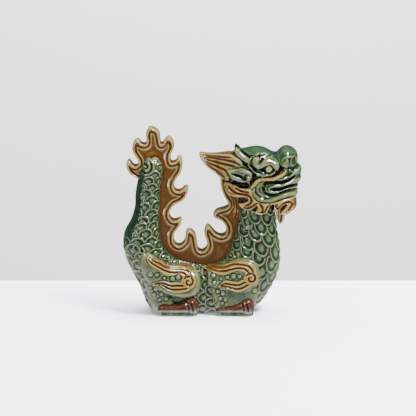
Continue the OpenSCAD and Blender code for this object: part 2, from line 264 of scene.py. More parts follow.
def skin(field, low, high, cell=CELL):
    """A closed quad mesh where field(x, y, z) is 0, found cell by cell and drawn tight onto the surface."""
    low, high = np.array(low, float), np.array(high, float)
    lines = [np.arange(a, b + cell, cell) for a, b in zip(low, high)]
    grid = np.broadcast_to(
        field(lines[0][:, None, None], lines[1][None, :, None], lines[2][None, None, :]),
        [len(line) for line in lines])
    solid = grid < 0
    counted = sum(solid[i:solid.shape[0] - 1 + i, j:solid.shape[1] - 1 + j, k:solid.shape[2] - 1 + k]
                  .astype(np.int8) for i in (0, 1) for j in (0, 1) for k in (0, 1))
    mixed = (counted > 0) & (counted < 8)
    cells = np.argwhere(mixed)
    index = np.full(mixed.shape, -1)
    index[mixed] = np.arange(len(cells))
    total = np.zeros((len(cells), 3))
    hits = np.zeros(len(cells))
    corners = [np.array([i, j, k]) for i in (0, 1) for j in (0, 1) for k in (0, 1)]
    for a in corners:
        for b in corners:
            if (b - a).sum() != 1 or (b < a).any():
                continue
            fa, fb = grid[tuple((cells + a).T)], grid[tuple((cells + b).T)]
            cut = (fa < 0) != (fb < 0)
            t = np.where(cut, fa / np.where(cut, fa - fb, 1), 0)
            total += np.where(cut[:, None], a + t[:, None] * (b - a), 0)
            hits += cut
    points = low + (cells + total / hits[:, None]) * cell
    quads = []
    for axis in range(3):
        b, c = (axis + 1) % 3, (axis + 2) % 3
        first = [slice(1, n - 1) for n in solid.shape]
        second = list(first)
        first[axis], second[axis] = slice(0, -1), slice(1, None)
        out = solid[tuple(first)] & ~solid[tuple(second)]
        into = ~solid[tuple(first)] & solid[tuple(second)]
        for change, order in ((out, (0, 1, 2, 3)), (into, (3, 2, 1, 0))):
            at = np.argwhere(change)
            at[:, b] += 1
            at[:, c] += 1
            ring = []
            for db, dc in ((-1, -1), (0, -1), (0, 0), (-1, 0)):
                cell_at = at.copy()
                cell_at[:, b] += db
                cell_at[:, c] += dc
                ring.append(index[tuple(cell_at.T)])
            quads.append(np.stack([ring[i] for i in order], axis=1))
    quads = np.concatenate(quads)
    for _ in range(3):
        points = 0.4 * points + 0.6 * neighbours_mean(points, quads)
        for _ in range(2):
            points = drawn_on(field, points, cell)
    return points, quads


def drawn_on(field, points, cell):
    """One Newton step of each point towards field = 0."""
    x, y, z = points.T
    value = field(x, y, z)
    h = 0.25 * cell
    slope = np.stack([field(x + h, y, z) - value, field(x, y + h, z) - value,
                      field(x, y, z + h) - value], axis=1) / h
    step = slope * (value / np.maximum((slope ** 2).sum(1), 0.05))[:, None]
    size = np.linalg.norm(step, axis=1, keepdims=True)
    return points - step * np.minimum(1, 0.5 * cell / np.maximum(size, 1e-9))


def neighbours_mean(points, quads):
    """The middle of each point's neighbours along the edges of the quads."""
    pairs = np.concatenate([quads[:, [i, (i + 1) % 4]] for i in range(4)])
    n = len(points)
    count = np.bincount(pairs[:, 0], minlength=n).astype(float)
    total = np.stack([np.bincount(pairs[:, 0], points[pairs[:, 1], a], minlength=n) for a in range(3)], 1)
    return total / np.maximum(count, 1)[:, None]


def normals_of(points, quads):
    """A unit normal for each point, from the faces round it."""
    a, b, c, d = (points[quads[:, i]] for i in range(4))
    face = np.cross(c - a, d - b)
    total = np.zeros_like(points)
    for i in range(4):
        for axis in range(3):
            total[:, axis] += np.bincount(quads[:, i], face[:, axis], minlength=len(points))
    return total / np.maximum(np.linalg.norm(total, axis=1, keepdims=True), 1e-12)


def hollows(points, quads, rounds):
    """How deep each point lies in a hollow of its own skin, in millimetres; ridges are negative."""
    normals = normals_of(points, quads)
    soft = points
    for _ in range(rounds):
        soft = neighbours_mean(soft, quads)
    return ((soft - points) * normals).sum(1)


# ---- Outlines of the head, the mane and the ornament, as [x, z] ----

PLUME_EDGE = [
    [[6.1, 109.2], [0.6, 113.7], [-5.3, 118.4], [-9.4, 124.4], [-10.2, 128.6]],
    [[-10.2, 128.6], [-3.3, 127.6], [4.6, 127.6], [15.6, 127.6], [22, 124.6], [24.4, 119.6]],
    [[24.4, 119.6], [17, 117.4], [11.6, 116.2], [12.8, 112], [13.4, 106.6]],
]
PLUME_GROOVES = [
    [[-7.6, 126.9], [0, 126.2], [8, 125.9], [15, 126.2]],
    [[-8, 125.4], [2, 124.3], [12, 123.6], [18, 122.3], [23, 119.8]],
    [[-7.6, 124], [0, 122.2], [8, 120.7], [15, 119.6], [20.5, 118.4]],
    [[-6.6, 122.3], [0, 119.4], [6, 117.3], [10.6, 115.2], [12.6, 111]],
    [[-4.6, 120], [0, 116.6], [5, 113.4], [8.6, 110.4], [10.6, 105.6]],
]
# The face in profile, closed through the neck.
FACE = [[8, 124], [14, 128], [20.1, 131.4], [24.6, 131.6], [29.4, 132.7], [34.6, 133.4], [39.9, 132.7],
        [44.3, 130.8], [47.3, 129.1], [50.4, 128.7], [52.1, 130.2], [54.8, 132.7], [58.2, 133.8],
        [61.7, 133.2], [65.2, 130.8], [67, 127.6], [67.4, 124.5], [67.1, 120.5], [68.4, 119.2],
        [70.2, 116.9], [70.3, 114.3], [69.8, 111.2], [70.2, 109.4], [69.5, 106.7], [68.2, 104],
        [67.5, 100.9], [67.5, 97.8], [67, 95], [66.5, 92.4], [66.9, 88], [65.5, 84], [61.4, 81.1],
        [57.9, 78.3], [50, 76], [40, 74], [25, 76], [10, 84], [6, 104]]
HEAD_EDGE = FACE[:26] + [[66.5, 100.1], [61.3, 100.1], [56.9, 99.5], [52.6, 98.1], [48.3, 97],
                         [44, 97.3], [40.9, 99], [39.8, 102.1], [38, 106], [34, 104], [30, 98],
                         [20, 96], [10, 98], [8, 110]]
JAW_EDGE = [[40.6, 104.6], [39.6, 102.1], [40.9, 99], [44, 97.3], [48.3, 97], [52.6, 98.1], [56.9, 99.5],
            [61.3, 100.1], [67.4, 100.3], [67.5, 97.8], [66.9, 94.6], [60, 94.4], [54, 93], [48, 91.4],
            [40, 90.8], [34.4, 92.6], [30.6, 96.8], [29.8, 101], [31.6, 104.6], [36, 107.4]]
NOSE_EDGE = [[50.6, 128.6], [52.1, 130.2], [54.8, 132.7], [58.2, 133.8], [61.7, 133.2], [65.2, 130.8],
             [67, 127.6], [67.4, 124.5], [66.6, 120.6], [63, 118], [57.6, 117.4], [53.6, 119.6], [50.9, 124]]
MOUTH_LINE = [[65.4, 112.2], [61.2, 109.6], [56, 107.8], [49.1, 107.4], [43, 106.9], [40.4, 104.7],
              [39.8, 102.1], [40.9, 99], [44, 97.3], [48.3, 97], [52.6, 98.1], [56.9, 99.5],
              [61.3, 100.1], [68.5, 100.1]]
LIP_RIDGE = [[68, 109], [61.2, 106.3], [54.8, 104.5], [48.3, 104.1], [45.2, 103.2], [44.3, 101.5],
             [45.7, 99.7], [49.2, 99.3], [53.5, 100.6], [59.1, 102.1], [68.5, 101.7]]
MOUTH_SLOT = [[46.1, 101.9], [51, 101.5], [54.8, 102.3], [59.1, 103.4], [69, 104.2]]
JAW_RIDGE = [[33.1, 102.5], [31.8, 99.9], [33.1, 97.3], [36.2, 94.5], [39.6, 93], [44, 93],
             [48.3, 93.9], [52.6, 95.5], [57, 96.8], [61.3, 97.3], [67, 97]]
CHEEK_RIDGE = [[70, 118.6], [66.5, 115.5], [62, 111.8], [57, 109.9], [50, 109.2]]
BROW_EDGE = [[50.3, 116.5], [52.2, 120.5], [49.8, 125], [45, 127.2], [41, 125.4], [37, 121.6], [35.6, 122.4],
             [36.2, 126.2], [32.6, 126.6], [31, 123.4], [32.8, 119.4], [36.6, 118], [41, 119.8],
             [45.6, 120.8]]
EYE_RING = [[31.4, 127.2], [28.7, 124.4], [28.3, 121.2], [30, 118.6], [32.6, 115.6], [36.1, 113.6],
            [43, 112.7], [46.5, 113.8], [48.9, 116], [49.6, 118.4]]
EYE_SLIT = [[[36, 117.2], [40, 119.9], [45, 120.6], [48.9, 117.6]],
            [[48.9, 117.6], [46.4, 115], [42.5, 114.2], [36, 117.2]]]
EYEBALL = [44.2, 117.6]
EAR_EDGE = [[12, 116.4], [17.8, 117.5], [23, 118.2], [27.3, 117], [30.7, 114.8], [31, 111.8], [29.4, 108.9],
            [26.1, 107.3], [23.1, 106.9], [19.1, 108], [15.7, 110.2], [13.2, 113.5]]
EAR_HOLLOW = [[14.8, 114.2], [18.6, 113], [22.4, 111.6], [24.8, 109.8], [25.8, 110.4],
              [25.6, 112.4], [27, 113.4]]
EAR_CURL = [[21, 116.2], [27.2, 115.4], [29.8, 112.8], [29.4, 109.8], [26.4, 108.2]]
LIP_BAND = [[29.4, 102], [31.8, 104.4], [34.3, 107.4], [37.8, 109.4], [42.9, 109.8], [48.1, 110.2],
            [52.4, 112], [55.8, 114], [57.3, 116.2], [56.5, 117.6]]
NOSTRIL = [[63.2, 126.2], [63.8, 123.4], [64.9, 120.6]]
HORN = [[29.4, 122.6], [25.6, 125.4], [22, 128.2], [19.8, 130.6], [18.8, 133.2]]
# Hollows of the head, cut in and painted almost black, partly pooled glaze and partly painted shade: path,
# half width, depth.
HEAD_HOLLOWS = [
    ([[31, 121.4], [31.6, 116], [32.6, 110], [31.6, 103]], 3.2, 2.6),
    ([[53.4, 121.4], [52.8, 117], [48, 112.2], [41, 110.6]], 3.0, 2.6),
    ([[15, 105], [22, 104.6], [29, 104]], 3.2, 3.4),
    ([[14, 127.4], [20, 125.6], [26, 121.8], [30.6, 119.4]], 2.6, 2.8),
    ([[21.8, 131], [25, 128.8], [29, 126.8], [32, 127.6]], 1.4, 2.2),
    ([[35.4, 128], [38.8, 126.8], [42, 128.2]], 1.8, 1.6),
    ([[40.2, 125.4], [38.4, 123.8], [37.4, 121.6]], 1.7, 2.4),
]
# Lesser ridges of head and nose: path, width and height, below 0 for a groove.
HEAD_LINES = [
    ([[60, 116.4], [63.4, 113.8], [60, 111.4]], 1.6, 0.9),
    ([[31.6, 107.6], [32.4, 105.2]], 1.0, 1.3),
    ([[36.4, 106], [35.6, 103], [36, 100]], 1.0, 0.8),
]
NOSE_LINES = [
    ([[53.8, 123.9], [55.4, 125.8], [58, 127], [61.4, 127.2], [63.6, 126.4]], 1.2, 1.2),
    ([[62, 126.6], [61.4, 123.6], [62.4, 120.4], [63.6, 118.8]], 1.1, 1.3),
    ([[66, 126], [66.6, 122.6], [65.8, 119.8]], 1.0, 0.9),
    ([[54.4, 119.2], [57.4, 118.2], [61, 118.8]], 1.0, -1.4),
]
CHIN_TUFT = [[48, 88], [50.6, 80], [51.6, 75], [53.2, 71.6], [54.4, 71], [56, 72], [57.2, 76], [58.8, 81],
             [60, 88]]
# Half depths: at each x of the first row, or each z for the horn, the value in the second.
HEAD_DEPTHS = [[8, 14, 18, 25, 35, 48, 56, 62, 70],
               [6, 9, 11, 14.4, 16.4, 16.8, 15.2, 13.0, 9.2]]
BEARD_DEPTHS = [[9, 14, 20, 30, 45, 55, 61, 67],
                [9.6, 12.4, 16.0, 18.4, 18.6, 17.0, 14.0, 9.4]]
PLUME_DEPTHS = [[-10, 4, 12, 22], [4.6, 5.8, 10.6, 15.6]]
HORN_DEPTHS = [[122, 127, 131, 136], [14.6, 14.2, 12.6, 11.2]]
# How far in from its profile the head rounds off, at each x.
HEAD_ROUNDING = [[40, 60, 68], [13.0, 11.0, 7.5]]
# The crest's half thickness at distances in from its free edge: bead, groove, ridge and field.
CREST_PROFILE = [[0, 0.5, 1.0, 1.6, 2.2, 2.6, 3.0, 3.7, 4.5, 5.6, 9, 16],
                 [6.1, 6.7, 6.95, 6.7, 5.0, 4.75, 5.2, 6.1, 5.7, 5.3, 5.5, 5.6]]
# Shallow grooves where the crest runs up into the nape.
NAPE_GROOVES = [[[14.6, 107], [13.4, 99], [16.4, 91], [17.2, 85], [14.6, 80.6]],
                [[18, 104], [17, 97], [19.2, 90], [20, 83], [18.6, 76]]]
BEARD_EDGE = [
    [[9.2, 105.6], [9.8, 100.6], [12.7, 96.6], [17.5, 95.3], [26.6, 95.5], [27.9, 93.9], [26.6, 92.1],
     [24.1, 90.8], [20.4, 90.3]],
    [[20.4, 90.3], [22.3, 87.7], [25.4, 85.9], [29.2, 85.5], [31.9, 86.8], [34, 89], [35.3, 88.1],
     [34.9, 85.9], [33.1, 83.5]],
    [[33.1, 83.5], [36.2, 82], [39.7, 82.2], [42.7, 83.7], [44, 86.8], [45.3, 89], [47.4, 89.9],
     [48.8, 88.6], [48.3, 86.4], [47, 84.1]],
    [[47, 84.1], [50.5, 84.2], [53.2, 86.4], [54.8, 88.6], [57.9, 89.7], [58.3, 88.1], [56.1, 85.5],
     [53.4, 82.4]],
    [[53.4, 82.4], [57.8, 80.6], [61.4, 81.3], [65.5, 84], [66.9, 88], [66.5, 92.4], [66.6, 94.9]],
    [[66.6, 94.9], [60, 94.4], [54, 93], [48, 91.4], [40, 90.8], [34.6, 92.8], [31.2, 97],
     [30, 101.8], [22.2, 102.4], [13.6, 106], [9.2, 105.6]],
]
BEARD_GROOVES = [
    [[12.5, 104], [15, 101], [20, 98.5], [27, 97.5], [30, 95.5], [30.5, 92.5], [28.5, 90], [25, 88.8]],
    [[18, 103], [23, 100.4], [28.6, 99.6]],
    [[24.5, 87.8], [27, 87], [31, 88.5], [35, 90.8], [38, 89.5], [39.5, 86.5], [38.5, 83.5]],
    [[37, 83.3], [41, 84.6], [43.2, 88], [45.6, 91]],
    [[50.4, 90.6], [50, 87.8], [51.6, 86.2]],
    [[51, 85], [53, 88], [56.5, 90.8], [60.5, 91.3], [62.8, 89.4], [61, 86.4], [58, 83.4]],
]
HIND_STRANDS = [
    ([[-54.8, 55.5], [-49.3, 49.8], [-45.3, 46.8], [-39.8, 44.7], [-36.3, 42.2], [-32.4, 40.7],
      [-27.4, 40.5], [-21.4, 40.1], [-17.2, 38.3], [-14, 35], [-13.2, 31]],
     [[-54.8, 55.5], [-51.6, 50.1], [-50.4, 46], [-48.3, 42.4], [-43.4, 39.3], [-39.3, 36.2],
      [-35.9, 34.1], [-31.9, 33.6], [-27.4, 34.5], [-24.2, 33.6], [-22.4, 31.4]]),
    ([[-47.4, 27.4], [-42.4, 28.8], [-37.9, 29.5], [-33.4, 27.9], [-28.4, 28], [-23.9, 27.7], [-21, 28]],
     [[-47.4, 27.4], [-41.4, 26.2], [-38.4, 24.2], [-34.4, 21.4], [-30, 20], [-23.4, 20.3], [-17.4, 21.8]]),
]
# A spiral: the x and z of its middle, and its radius.
HIND_SPIRAL = [-18.4, 28.4, 5.6]
FORE_STRANDS = [
    ([[-8.6, 38], [-4.5, 39.3], [1.2, 39.3], [7.9, 40.2], [12.2, 41.8], [16.7, 44.3], [21.1, 45.2],
      [27.7, 44.3], [31.9, 42.6], [34.2, 39.6], [35.2, 35]],
     [[-8.6, 38], [-1.1, 35.9], [3.4, 34.4], [7.9, 33.6], [12.2, 34.6], [16.7, 36.8], [21.1, 37.7],
      [25.1, 36.2], [27, 34.4]]),
    ([[4.4, 24.3], [7.9, 27.6], [10.4, 29.1], [14.5, 28.9], [20.3, 28.4], [23.3, 30], [26, 30.4]],
     [[4.4, 24.3], [9.2, 24.1], [12.2, 22.7], [16.7, 21.1], [21.2, 20.4], [25.5, 21.8], [31, 25.2]]),
]
FORE_SPIRAL = [30.6, 31.4, 5.7]
PEARLS = [  # x, z, radius
    [-43.1, 34.6, 1.7], [-31.2, 30.8, 2.0], [-26.6, 31.8, 2.0], [-31.6, 45.8, 2.2], [-21.8, 43, 2.0],
    [-37.5, 31.5, 1.5], [-48.5, 35, 2.2], [-44.5, 22.5, 2.0], [-48.5, 23.5, 1.5], [-40, 18.5, 1.8],
    [-46, 18, 1.8], [-36, 14.6, 1.8], [-41.5, 13.6, 1.7], [-16.6, 41.4, 1.2], [-13.2, 40.6, 1.4],
    [16.9, 32.8, 2.2], [21.6, 32.8, 1.7], [11.9, 31.6, 1.6], [7, 30.6, 1.3], [1, 32.8, 1.9],
    [10.9, 45.1, 2.4], [6.5, 43.2, 1.4], [2.4, 42.6, 1.7], [4.6, 20.6, 1.7], [8.6, 19, 1.9],
    [6.4, 14.6, 1.7], [10.6, 13.6, 1.7], [8, 10.4, 1.4], [33.5, 21, 2.2], [38, 28.6, 1.8],
    [40, 37.5, 2.0], [-8, 12, 2.1], [-7.4, 18.6, 2.1], [1.6, 27.4, 1.6], [-7, 27.4, 1.8],
    [-1.6, 23, 1.8], [-4, 31.5, 1.5], [-3.2, 13.6, 1.8], [1.4, 11.4, 1.7],
]
TAIL_CURL = [-52.3, 118, 5.6]
# The middle of the smooth patch round the curl.
TAIL_PATCH = [-51.5, 118.6]
# Haunch, hind shank, shoulder and fore shank: outline, rise and how wide the edge rounds off.
LIMB_EDGES = [
    ([[-54, 52], [-48, 50], [-40, 44.6], [-33, 41.4], [-25, 41.4], [-18.5, 40], [-13, 36.4], [-9.8, 31.5],
      [-8.8, 26], [-10.4, 19.8], [-15.6, 15.4], [-22, 14.2], [-29, 15.2], [-36.8, 17.2], [-45, 21.5],
      [-52, 27], [-55.6, 36], [-56.6, 45]], 4.3, 4.6),
    ([[-54, 27], [-50.5, 15], [-46, 4], [-31, 4], [-29.8, 9.6], [-33.4, 16.4], [-40, 23], [-48, 28]],
     3.4, 4.0),
    ([[-8.6, 36], [-2, 39.4], [5, 40.6], [14.7, 43.4], [25.3, 46], [33.6, 43.6], [37.4, 36.6], [37.6, 28],
      [33, 20.8], [24, 17.8], [14.7, 18.8], [6.2, 20.6], [-1.6, 24], [-7.6, 29.6]], 4.0, 4.4),
    ([[-1, 23], [2, 12], [4, 5], [20, 5], [33.6, 7], [36, 14], [35, 24], [20, 24], [8, 25]], 3.2, 4.0),
]
# The bare hollow between hind shank and foot.
SHANK_HOLLOW = [[-33, 14], [-30, 8], [-18, 10], [-15, 15.5], [-22, 15.6], [-28, 15.4]]
# Both feet run on below the base, where they are cut flat.
HIND_FOOT = [[-37.5, -2.5], [-41.6, 0.6], [-43.2, 5], [-41, 9.4], [-34, 10.2], [-26, 10.2], [-20.8, 13],
             [-16.4, 15], [-12.4, 12.8], [-10.2, 7.8], [-11.4, 2.6], [-15.5, -2.5]]
FORE_FOOT = [[8.4, -2.5], [4.6, 0.6], [3.6, 4.6], [6.2, 7.6], [12, 8], [18, 9.6], [22, 11.6], [26, 14],
             [30, 14.3], [32.8, 11], [33.4, 5.6], [32.6, 1.6], [29.4, -2.5]]


# ---- Heights of the flank ----


@lru_cache(maxsize=None)
def crest_plan():
    """The crest's half thickness and its outline: an edge bead, a groove and an inner ridge."""
    edge = curve(CREST_EDGE, 4)
    outline = np.concatenate([edge, np.array(CREST_ROOT)])
    near, _ = trace(edge, 16.0)
    inside = within(outline)
    d = blunted(np.where(inside, near, -near))
    height = np.interp(d, *CREST_PROFILE)
    for path in NAPE_GROOVES:
        height = height + stroke(path, 1.1, -0.9)
    return blurred(height, 0.25), d


@lru_cache(maxsize=None)
def face_plan():
    """The half depth of the head without its ornament."""
    d = depth_inside(curve(FACE, 4, True), 16)
    deep = np.interp(PLAN_X, *HEAD_DEPTHS)
    round_off = np.interp(PLAN_X, *HEAD_ROUNDING)
    return deep * (0.12 + 0.88 * rounded(d, round_off)), d


def strokes(lines):
    """The sum of several strokes, each a path, a width and a height."""
    return sum(stroke(path, width, height) for path, width, height in lines)


@lru_cache(maxsize=None)
def hollow_plan():
    return strokes(HEAD_HOLLOWS) * (1 - stroke(EYE_RING, 1.7, 0.8))


@lru_cache(maxsize=None)
def head_plan():
    h = face_plan()[0] - hollow_plan()
    h += stroke(EYE_RING, 1.5, 1.7)
    h += stroke(LIP_BAND, 2.6, -1.2)
    h += stroke(MOUTH_LINE, 1.6, -2.8, taper=0.05)
    h += stroke(LIP_RIDGE, 1.3, 1.0, taper=0.0)
    h += stroke(MOUTH_SLOT, 1.5, -3.0, taper=0.1)
    h += stroke(CHEEK_RIDGE, 1.9, 1.6)
    h += pearl(39.1, 111.4, 1.2, 1.8) + pearl(34.4, 112.4, 1.1, 1.4)
    h += strokes(HEAD_LINES)
    slit = depth_inside(pointed(EYE_SLIT, 6), 6)
    h -= 2.6 * smooth_step(-0.4, 1.2, slit)
    for edge in (EAR_EDGE, BROW_EDGE):
        h -= 1.2 * smooth_step(-1.6, 0.2, depth_inside(curve(edge, 5, True), 6))
    return blurred(h, 0.22)


@lru_cache(maxsize=None)
def nose_plan():
    base, _ = face_plan()
    d = depth_inside(curve(NOSE_EDGE, 5, True), 8)
    h = base + 1.6 * rounded(d, 3.0)
    h += 1.3 * np.clip(1 - np.hypot((PLAN_X - 57.6) / 4.2, (PLAN_Z - 122.4) / 3.6) ** 2, 0, 1)
    h += stroke(NOSTRIL, 1.4, -3.4)
    h += strokes(NOSE_LINES)
    return blurred(h, 0.22), d


@lru_cache(maxsize=None)
def jaw_plan():
    base, _ = face_plan()
    d = depth_inside(curve(JAW_EDGE, 4, True), 8)
    h = base + 0.4 * rounded(d, 2.0) + stroke(JAW_RIDGE, 1.9, 1.5, taper=0.05)
    h += stroke([[36.6, 105.4], [35.2, 101.6], [36.8, 98.6], [40, 96]], 1.2, 0.7)
    h += stroke(MOUTH_LINE, 1.4, -1.6, taper=0.05)
    return blurred(h, 0.22), d


def strand_grooves(upper, lower, shares, width, depth):
    """Grooves that run along a strand between its two edges, at the given shares of its width."""
    ends = []
    for edge in (upper, lower):
        path = curve(edge, 8)
        walked = np.concatenate([[0], np.cumsum(np.linalg.norm(np.diff(path, axis=0), axis=1))])
        at = np.linspace(0.07, 1, 40) * walked[-1]
        ends.append(np.stack([np.interp(at, walked, path[:, k]) for k in (0, 1)], axis=1))
    total = np.zeros(PLAN_X.shape)
    for share in shares:
        total += stroke((1 - share) * ends[0] + share * ends[1], width, depth, taper=0.12, steps=1)
    return total


def spiral(x, z, radius, turns, start):
    """A line that winds in from a radius to a point, clockwise."""
    t = np.linspace(0, 1, 60)
    turn = math.radians(start) - 2 * math.pi * turns * t
    r = radius * (1 - t) ** 0.85
    return np.stack([x + r * np.cos(turn), z + r * np.sin(turn)], axis=1)


def scroll_plan(strands, centre):
    """A cloud scroll: its two fluted strands and the spiral they grow from."""
    x, z, radius = centre
    groove = relief().groove_depth / MM
    d = radius - np.hypot(PLAN_X - x, PLAN_Z - z)
    h = np.zeros(PLAN_X.shape)
    for upper, lower in strands:
        d = np.maximum(d, depth_inside(np.concatenate([curve(upper, 5), curve(lower, 5)[::-1]]), 8))
        h += strand_grooves(upper, lower, (0.3, 0.68), 0.95, -groove)
    disc = smooth_step(0.2, 1.2, radius - np.hypot(PLAN_X - x, PLAN_Z - z))
    h = h * (1 - disc)
    winding = spiral(x, z, radius * 0.8, 1.35, 160)
    h += disc * stroke(winding, 1.0, -groove, 0.1, 1)
    h += pearl(x - 0.2, z, 1.5, 0.7)
    return h, d


@lru_cache(maxsize=None)
def hind_scroll_plan():
    return scroll_plan(HIND_STRANDS, HIND_SPIRAL)


@lru_cache(maxsize=None)
def fore_scroll_plan():
    return scroll_plan(FORE_STRANDS, FORE_SPIRAL)


@lru_cache(maxsize=None)
def flank_plan():
    """The half depth of the bare body."""
    # Rings finer than the plan's pitch leave no point of it empty.
    points, _ = rings(int(450 / PITCH), int(120 / PITCH))
    body = np.zeros(PLAN_X.shape)
    i = np.clip(((points[..., 0] - X_LINE[0]) / PITCH).round().astype(int), 0, len(X_LINE) - 1)
    k = np.clip(((points[..., 2] - Z_LINE[0]) / PITCH).round().astype(int), 0, len(Z_LINE) - 1)
    np.maximum.at(body, (i, k), -points[..., 1])
    weight = blurred((body > 0).astype(float), 0.5)
    return np.where(weight > 0.15, blurred(body, 0.5) / np.maximum(weight, 1e-3), 0)


@lru_cache(maxsize=None)
def limb_plan():
    """The flank over haunch and shoulder, without pearls, and how far it stands off the body."""
    body = flank_plan()
    off = np.zeros(PLAN_X.shape)
    for edge, rise, soft in LIMB_EDGES:
        off = np.maximum(off, rise * rounded(np.clip(depth_inside(curve(edge, 5, True), 9), 0, None), soft))
    off *= smooth_step(4, 11, body)
    return body, blurred(off, 0.4)


@lru_cache(maxsize=None)
def pearled_plan():
    body, off = limb_plan()
    h = body + off
    for x, z, radius in PEARLS:
        moat = smooth_step(radius + 1.1, radius + 0.1, np.hypot(PLAN_X - x, PLAN_Z - z))
        h += pearl(x, z, radius, relief().pearl_height / MM) - 0.6 * moat
    moat = np.maximum(hind_scroll_plan()[1], fore_scroll_plan()[1])
    h -= 1.0 * smooth_step(-1.3, 0.1, moat)
    return blurred(h, 0.28)


# ---- The cast body ----


def rings(along_steps, round_steps):
    """Points of one flank of the body: a grid along it and round it, from crest side to belly."""
    middle = np.array(BODY_SECTIONS)
    walk = curve(middle, 12)
    mid = (walk[:, 0:2] + walk[:, 2:4]) / 2
    length = np.concatenate([[0], np.cumsum(np.linalg.norm(np.diff(mid, axis=0), axis=1))])
    s = np.linspace(0, length[-1], along_steps)
    at = np.stack([np.interp(s, length, walk[:, k]) for k in range(5)], axis=1)
    centre, half = (at[:, 0:2] + at[:, 2:4]) / 2, (at[:, 2:4] - at[:, 0:2]) / 2
    turn = np.linspace(0, math.pi, round_steps)
    bend = 2 / SQUARENESS
    c = np.sign(np.cos(turn)) * np.abs(np.cos(turn)) ** bend
    y = np.abs(np.sin(turn)) ** bend
    x = centre[:, None, 0] + half[:, None, 0] * c
    z = centre[:, None, 1] + half[:, None, 1] * c
    return np.stack([x, -at[:, None, 4] * y, z], axis=2), s


# Length and width of a scale at shares of the way from the tail's tip to the neck.
SCALE_SIZES = [[0, 0.1, 0.3, 0.42, 0.5, 0.62, 0.7, 0.8, 1],
               [6.4, 7.4, 8.6, 9.0, 8.4, 8.2, 9.8, 11.8, 11.8],
               [8.5, 10.0, 11.5, 11.0, 9.4, 8.8, 9.8, 11.6, 11.6]]
BELLY_BAND = 6.0  # how far the belly plates reach round each flank
PLATE_LENGTH = 5.6
ROW_SPACING = 0.70  # of a scale's length


def scale_relief(points, s):
    """Overlapping fish scales over a flank, free edges towards the tail: a rim, a channel and a boss on each.

    The tail's outer side is smooth under a thick coat, so the second map says where the glaze lies deep.
    """
    chance = np.random.default_rng(7)
    step = np.linalg.norm(np.diff(points, axis=1), axis=2)
    u = np.concatenate([np.zeros((len(s), 1)), np.cumsum(step, axis=1)], axis=1)
    round_length = u[:, -1]
    relief = np.zeros(u.shape)
    place, row = s[0] + 5.0, 0
    while place < s[-1]:
        along = (place - s[0]) / (s[-1] - s[0])
        size, wide = (np.interp(along, SCALE_SIZES[0], row_sizes) for row_sizes in SCALE_SIZES[1:])
        here = int(np.searchsorted(s, place))
        around = round_length[min(here, len(s) - 1)]
        count = max(int(round((around - BELLY_BAND) / wide)), 2)
        width = (around - BELLY_BAND) / count
        for i in range(-1, count + 1):
            u0 = width * (i + 0.5 * (row % 2) + 0.5) + chance.normal(0, 0.05) * width
            s0 = place + chance.normal(0, 0.05) * size
            grow = chance.uniform(0.94, 1.06)
            lo = np.searchsorted(s, s0 - 1.1 * size)
            hi = np.searchsorted(s, s0 + 1.1 * size)
            a = (u[lo:hi] - u0 * u[lo:hi, -1:] / around) / (0.55 * width * grow)
            b = (s0 - s[lo:hi, None]) / (0.62 * size * grow)
            q = np.hypot(a, b)
            rim = np.exp(-((q - 0.86) / 0.11) ** 2)
            boss = np.clip(1 - np.hypot(a / 0.46, (b + 0.02) / 0.46) ** 2, 0, 1) ** 0.8
            height = 0.15 + 1.15 * rim + 0.75 * boss
            height *= np.clip((1 - q) / 0.08, 0, 1)
            window = relief[lo:hi]
            cover = (q < 1) & (b > -0.6)
            relief[lo:hi] = np.where(cover, height, window)
        place += ROW_SPACING * size
        row += 1
    # Belly plates across the outer midline.
    belly = smooth_step(BELLY_BAND + 0.6, BELLY_BAND - 0.6, round_length[:, None] - u)
    plates = 0.5 + 0.5 * np.cos(2 * math.pi * s / PLATE_LENGTH)
    plates = (0.9 * plates ** 0.6)[:, None] * np.ones_like(u)
    share = u / round_length[:, None]
    tail = smooth_step(0.30, 0.22, (s - s[0]) / (s[-1] - s[0]))[:, None]
    smooth = tail * smooth_step(0.60, 0.68, share)
    relief = (relief * (1 - belly) + plates * belly - 0.6) * (1 - smooth) + 0.1 * smooth
    return relief, smooth


@lru_cache(maxsize=None)
def body_grid(depth):
    """The right flank of the body with its relief: points, quads and how deep each point lies."""
    n, m = ((600, 130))
    points, s = rings(n, m)
    flat = points.reshape(-1, 3)
    quads = grid_quads(n, m)
    normals = normals_of(flat, quads).reshape(points.shape)
    relief, deep = scale_relief(points, s)
    edge = smooth_step(0, 3, np.linalg.norm(points[:, :, [0, 2]] - points[:, :1, [0, 2]], axis=2))
    # The tail's tip: a smooth swirl instead of scales.
    x, z = points[:, :, 0], points[:, :, 2]
    swirl = smooth_step(7.6, 6.0, np.hypot(x - TAIL_PATCH[0], z - TAIL_PATCH[1]))
    line = sample(stroke(spiral(*TAIL_CURL, 1.5, 60), 1.1, -1.4, 0.1, 1), x, z)
    relief = relief * (1 - swirl) + swirl * (0.3 + line) + sample(pearl(*TAIL_CURL[:2], 1.5, 0.8), x, z)
    # The scales make room for the scrolls laid over them.
    hollow = depth_inside(curve(SHANK_HOLLOW, 5, True), 8)
    gap = -np.maximum(np.maximum(sample(hind_scroll_plan()[1], x, z), sample(fore_scroll_plan()[1], x, z)),
                      sample(hollow, x, z))
    relief = relief * smooth_step(-0.2, 1.6, gap) - 0.7 * smooth_step(1.6, 0.2, gap)
    relief *= edge
    points = points + normals * relief[:, :, None] * depth
    points[:, 0, 1] = points[:, -1, 1] = 0
    points[:, :, 1] = np.minimum(points[:, :, 1], 0)
    points[:, :, 2] = np.maximum(points[:, :, 2], 0)
    return points.reshape(-1, 3), quads, deep.ravel()


def grid_quads(n, m):
    """The quads of an n by m grid of points."""
    i, j = np.meshgrid(np.arange(n - 1), np.arange(m - 1), indexing="ij")
    a = (i * m + j).ravel()
    return np.stack([a, a + 1, a + m + 1, a + m], axis=1)


# ---- Solids and meshes ----


